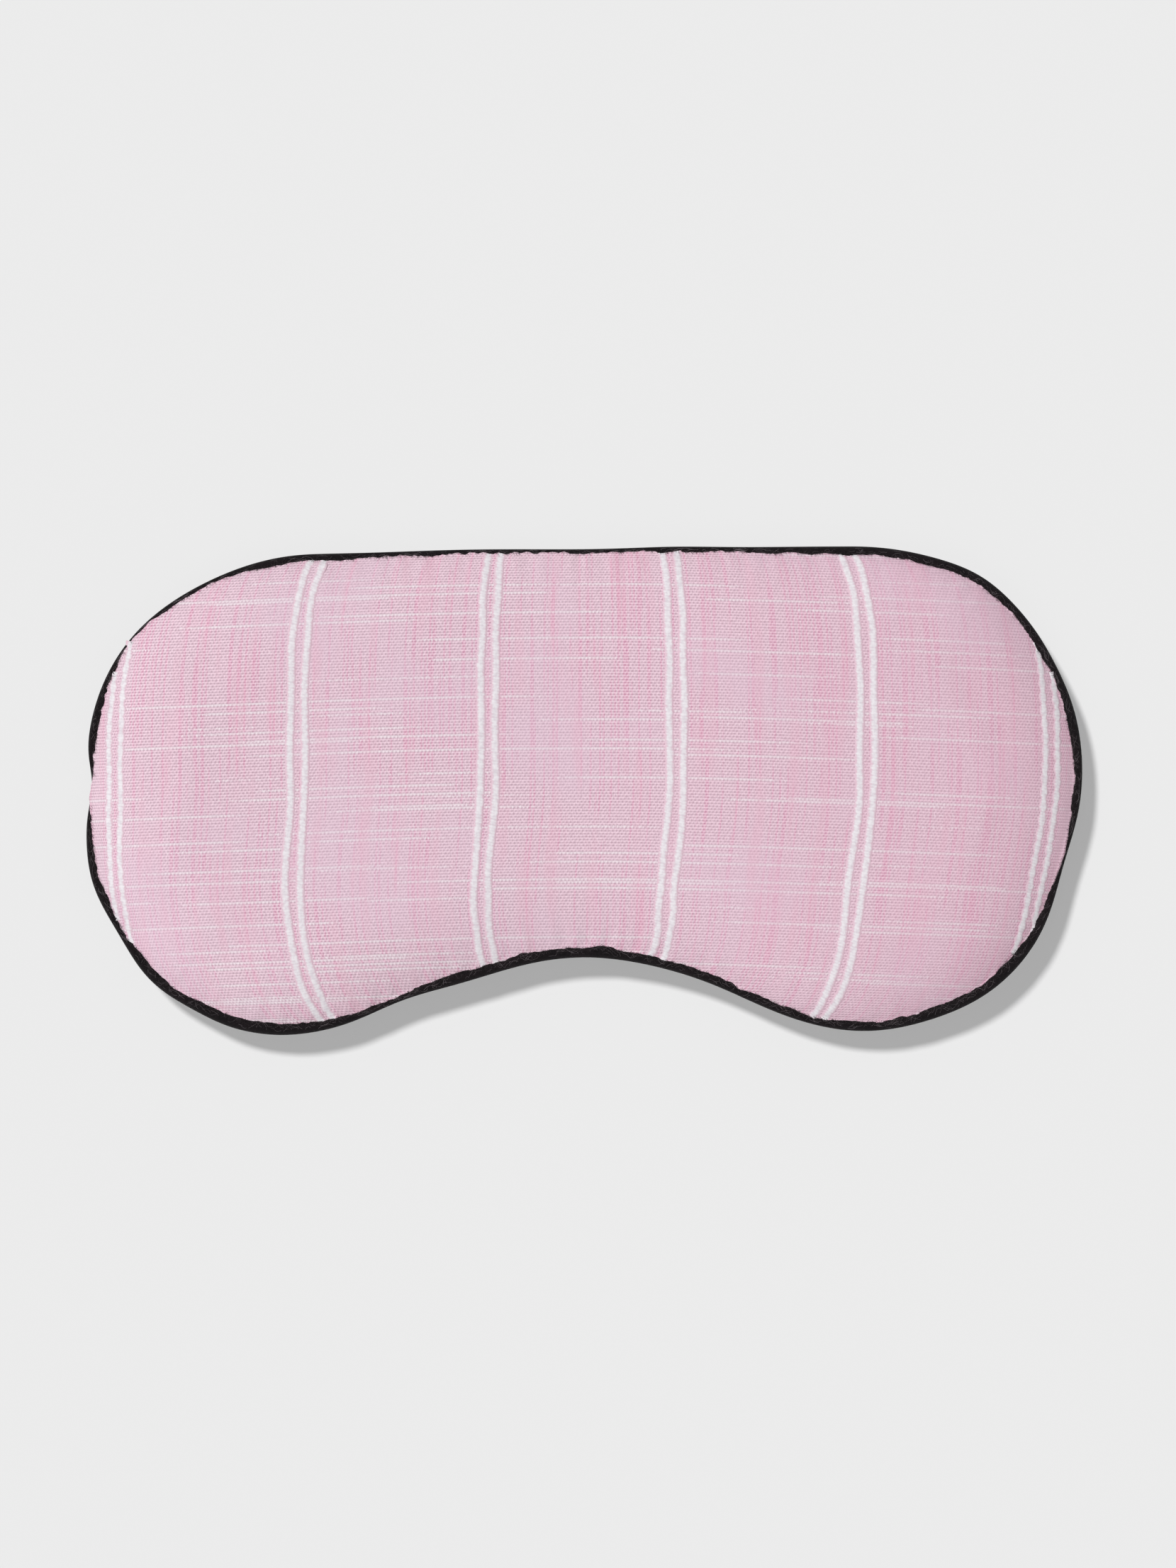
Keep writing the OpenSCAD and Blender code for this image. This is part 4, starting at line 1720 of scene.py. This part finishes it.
@dataclass(frozen=True)
class Studio:
    """Pale floor, a soft key light from the upper left, low fill, and the camera straight above."""

    photo_height_px: int = 2212
    photo_width_px: int = 1659
    mask_px: tuple[float, float] = (824.0, 1114.0)
    mm_per_px: float = 0.1457
    distance: float = 1200.0
    sensor: float = 36.0
    key_down: tuple[float, float, float] = (0.48, -0.59, -1.0)
    key_strength: float = 1.95
    key_spread: float = math.radians(8)
    fill_down: tuple[float, float, float] = (0.3, 0.46, -1.0)
    fill_strength: float = 1.55
    fill_spread: float = math.radians(30)
    world_strength: float = 0.05
    paper: str = "#EEEEEE"
    paper_grain: float = 40.0
    backdrop: str = "#EEEEEE"
    floor_side: float = 8000.0

    def build(self) -> None:
        """Builds floor, lights and camera."""
        self._floor()
        self._lights()
        self._camera()

    def _floor(self) -> None:
        """Lays the paper floor as stage."""
        s = Shader("studio_paper_matt")
        grain = s.noise(s.place(), per(self.paper_grain))
        rough = s.span(grain, 0.0, 1.0, 0.9, 1.0, smooth=False)
        paper = s.finish(linear(self.paper), rough, Specular_IOR_Level=0.0)
        half = self.floor_side / 2
        corners = np.array([(-half, -half, 0), (half, -half, 0), (half, half, 0), (-half, half, 0)])
        make_piece("paper_floor", corners, [[0, 1, 2, 3]], paper)

    def _lights(self) -> None:
        """Sets the key light, a fill that casts no shadow of its own, and the even world light."""
        for name, way, strength, spread, shadow in (
            ("soft_key", self.key_down, self.key_strength, self.key_spread, True),
            ("soft_fill", self.fill_down, self.fill_strength, self.fill_spread, False),
        ):
            lamp = bpy.data.lights.new(name, "SUN")
            lamp.energy = strength
            lamp.angle = spread
            lamp.use_shadow = shadow
            link(name, lamp).rotation_euler = Vector(way).to_track_quat("-Z", "Y").to_euler()
        world = bpy.data.worlds.new("studio_fill")
        world.use_nodes = True
        w = Tree(world.node_tree)
        ray = add(w.tree, "ShaderNodeLightPath").outputs
        seen = w.math("MAXIMUM", ray["Is Camera Ray"], ray["Is Glossy Ray"])
        shown = w.math("MAXIMUM", seen, ray["Is Transmission Ray"])
        fill = add(w.tree, "ShaderNodeBackground", {"Color": (1, 1, 1, 1), "Strength": self.world_strength})
        pale = add(w.tree, "ShaderNodeBackground", {"Color": linear(self.backdrop), "Strength": 1.0})
        both = add(w.tree, "ShaderNodeMixShader", {0: shown, 1: fill, 2: pale})
        add(w.tree, "ShaderNodeOutputWorld", {"Surface": both})
        bpy.context.scene.world = world

    def _camera(self) -> None:
        """Hangs the camera straight above, framed as the photograph is."""
        lens = bpy.data.cameras.new("camera")
        lens.sensor_width = self.sensor
        lens.lens = self.sensor * self.distance / (self.photo_height_px * self.mm_per_px)
        camera = link("camera", lens)
        x = (self.photo_width_px / 2 - self.mask_px[0]) * self.mm_per_px
        y = (self.mask_px[1] - self.photo_height_px / 2) * self.mm_per_px
        camera.location = Vector((x, y, LEVELS.rim + self.distance)) * MM
        scene = bpy.context.scene
        scene.camera = camera
        scene.view_settings.view_transform = "Standard"


@dataclass
class SleepMask:
    """The whole mask: face, filling, back, seams and strap."""

    outline: MaskOutline = field(default_factory=MaskOutline.from_frame)
    cord_half_width: float = 1.06
    outer_cord: float = 0.85
    cord_flatness: float = 0.16
    cord_sink: float = 0.075
    cord_beads: tuple[float, float] = (0.05, 0.17)
    seam_z: float = 7.4
    seam_in: float = 0.6
    hand_from: float = -42.0
    hand_to: float = -12.0

    face: FacePanel = field(init=False)
    strand: bpy.types.NodeTree = field(default_factory=strand_tree)
    thread: SpunThread = SpunThread("polyester_thread_dark_spun", "#1A1518", "#3A3236")

    def build(self) -> None:
        """Builds each piece and hands it to the frame."""
        self.face = FacePanel(self.outline)
        dark = self.thread.material()
        self._dress_face()
        self._dress_filling()
        self._dress_back()
        self._dress_seams(dark)
        self._dress_strap(dark)

    def _dress_face(self) -> None:
        """Builds the face with its woven-in cords."""
        panel = dress(self.face.build(SlubCotton().material()), Body.MASK, Slot.FACE, "face_panel")
        cord = CordedCotton().material()
        for number, (pair, (paths, lifts)) in enumerate(self.face.stripes(self.cord_sink).items(), start=1):
            outer = self.face.is_outer(pair)
            stripe = grow(make_paths("stripe_path", paths, lifts), self.strand, f"stripe_pair_{number}",
                          Radius=self.cord_half_width * MM * (self.outer_cord if outer else 1.0),
                          Flatness=self.cord_flatness, Step=0.3 * MM,
                          Bead_Pitch=2.8 * MM, Bead_Depth=self.cord_beads[outer],
                          Rib_Pitch=1.2 * MM, Rib_Depth=0.03, Sides=12, Finish=cord)
            dress(stripe, Body.MASK, Slot.FACE)

    def _dress_filling(self) -> None:
        """Builds the blackout cloth and the wadding."""
        filling = Filling(self.face)
        lining = filling.interlining(BlackoutCloth().material())
        dress(lining, Body.MASK, Slot.INTERLINING, "blackout_interlining")
        pad = dress(filling.wadding(PolyesterWadding().material()), Body.MASK, Slot.WADDING, "wadding")

    def _dress_back(self) -> None:
        """Builds the fleece back and the loose fibres of its rim."""
        rolled = BackPanel(self.outline)
        back, rim = rolled.build(BrushedFleece().material())
        dress(back, Body.MASK, Slot.BACK, "back_panel")
        dark = LooseFibre("polyester_fibre_dark_brushed", "#0C080A", "#2E2729").material()
        grey = LooseFibre("polyester_fibre_grey_brushed", "#4C4548", "#8E868A").material()
        fibres = [
            grow(rim, nap_tree(), "rim_nap", Density=6e6, Length=0.42 * MM, Slenderness=0.05,
                 Lean_Min=0.4, Lean_Max=1.3, Seed=3, Finish=dark),
            grow(make_paths("stray_path", rolled.strays()), self.strand, "rim_stray_fibres",
                 Radius=0.018 * MM, Step=0.3 * MM, Sides=3, Finish=grey),
            grow(make_paths("fringe_path", rolled.fringe()), self.strand, "rim_fringe_fibres",
                 Radius=0.028 * MM, Step=0.25 * MM, Sides=3, Finish=dark),
        ]
        for piece in fibres:
            dress(piece, Body.MASK, Slot.BACK)

    def _dress_seams(self, dark: Material) -> None:
        """Builds the machine seam, and the hand stitches where it leaves the turning gap open.

        Args:
            dark: The machine thread.
        """
        stitch = stitch_tree()
        pale = SpunThread("polyester_thread_pale_spun", "#CDB3BF", "#EFE0E7").material()
        loop = self.outline.inset(self.outline.show + self.seam_in)
        path = np.column_stack([loop, np.full(len(loop), self.seam_z)])
        x, y = loop.T
        gap = (x > self.hand_from) & (x < self.hand_to) & (y > self.outline.brow_above)
        first, last = np.flatnonzero(gap)[[0, -1]]
        machine = np.vstack([path[last + 1 :], path[:first]])
        pitch = self.outline.stitch_pitch * MM
        seam = grow(make_paths("seam_path", [machine]), stitch, "seam_stitches", Pitch=pitch,
                    Length=2.3 * MM, Radius=0.2 * MM, Arch=0.25 * MM, Turn=0.0, Finish=dark)
        dress(seam, Body.MASK, Slot.DARK_THREAD, "seam_thread")
        closing = grow(make_paths("closing_path", [path[gap]]), stitch, "closing_thread", Pitch=pitch,
                       Length=1.9 * MM, Radius=0.11 * MM, Arch=0.9 * MM, Turn=1.2, Finish=pale)
        dress(closing, Body.MASK, Slot.PALE_THREAD, "closing_stitches")

    def _dress_strap(self, dark: Material) -> None:
        """Builds the two halves of the strap and their tacks.

        Args:
            dark: Thread of the tacks.
        """
        elastic = KnittedElastic().material()
        for side in Side:
            half = ElasticStrap(side)
            dress(half.build(elastic), None, Slot.ELASTIC, "elastic_strap")
            node = f"{side.name.lower()}_strap_tack"
            bar = grow(make_paths("tack_path", [half.tack(node)]), self.strand, f"{node}_thread",
                       Radius=0.22 * MM, Step=0.25 * MM, Sides=6, Finish=dark)
            dress(bar, Body.MASK, Slot.DARK_THREAD, node)


def main() -> None:
    """Builds the studio and the mask, and reports each piece."""
    logging.basicConfig(level=logging.INFO, format="%(name)s: %(message)s")
    Studio().build()
    SleepMask().build()


if __name__ == "__main__":
    main()
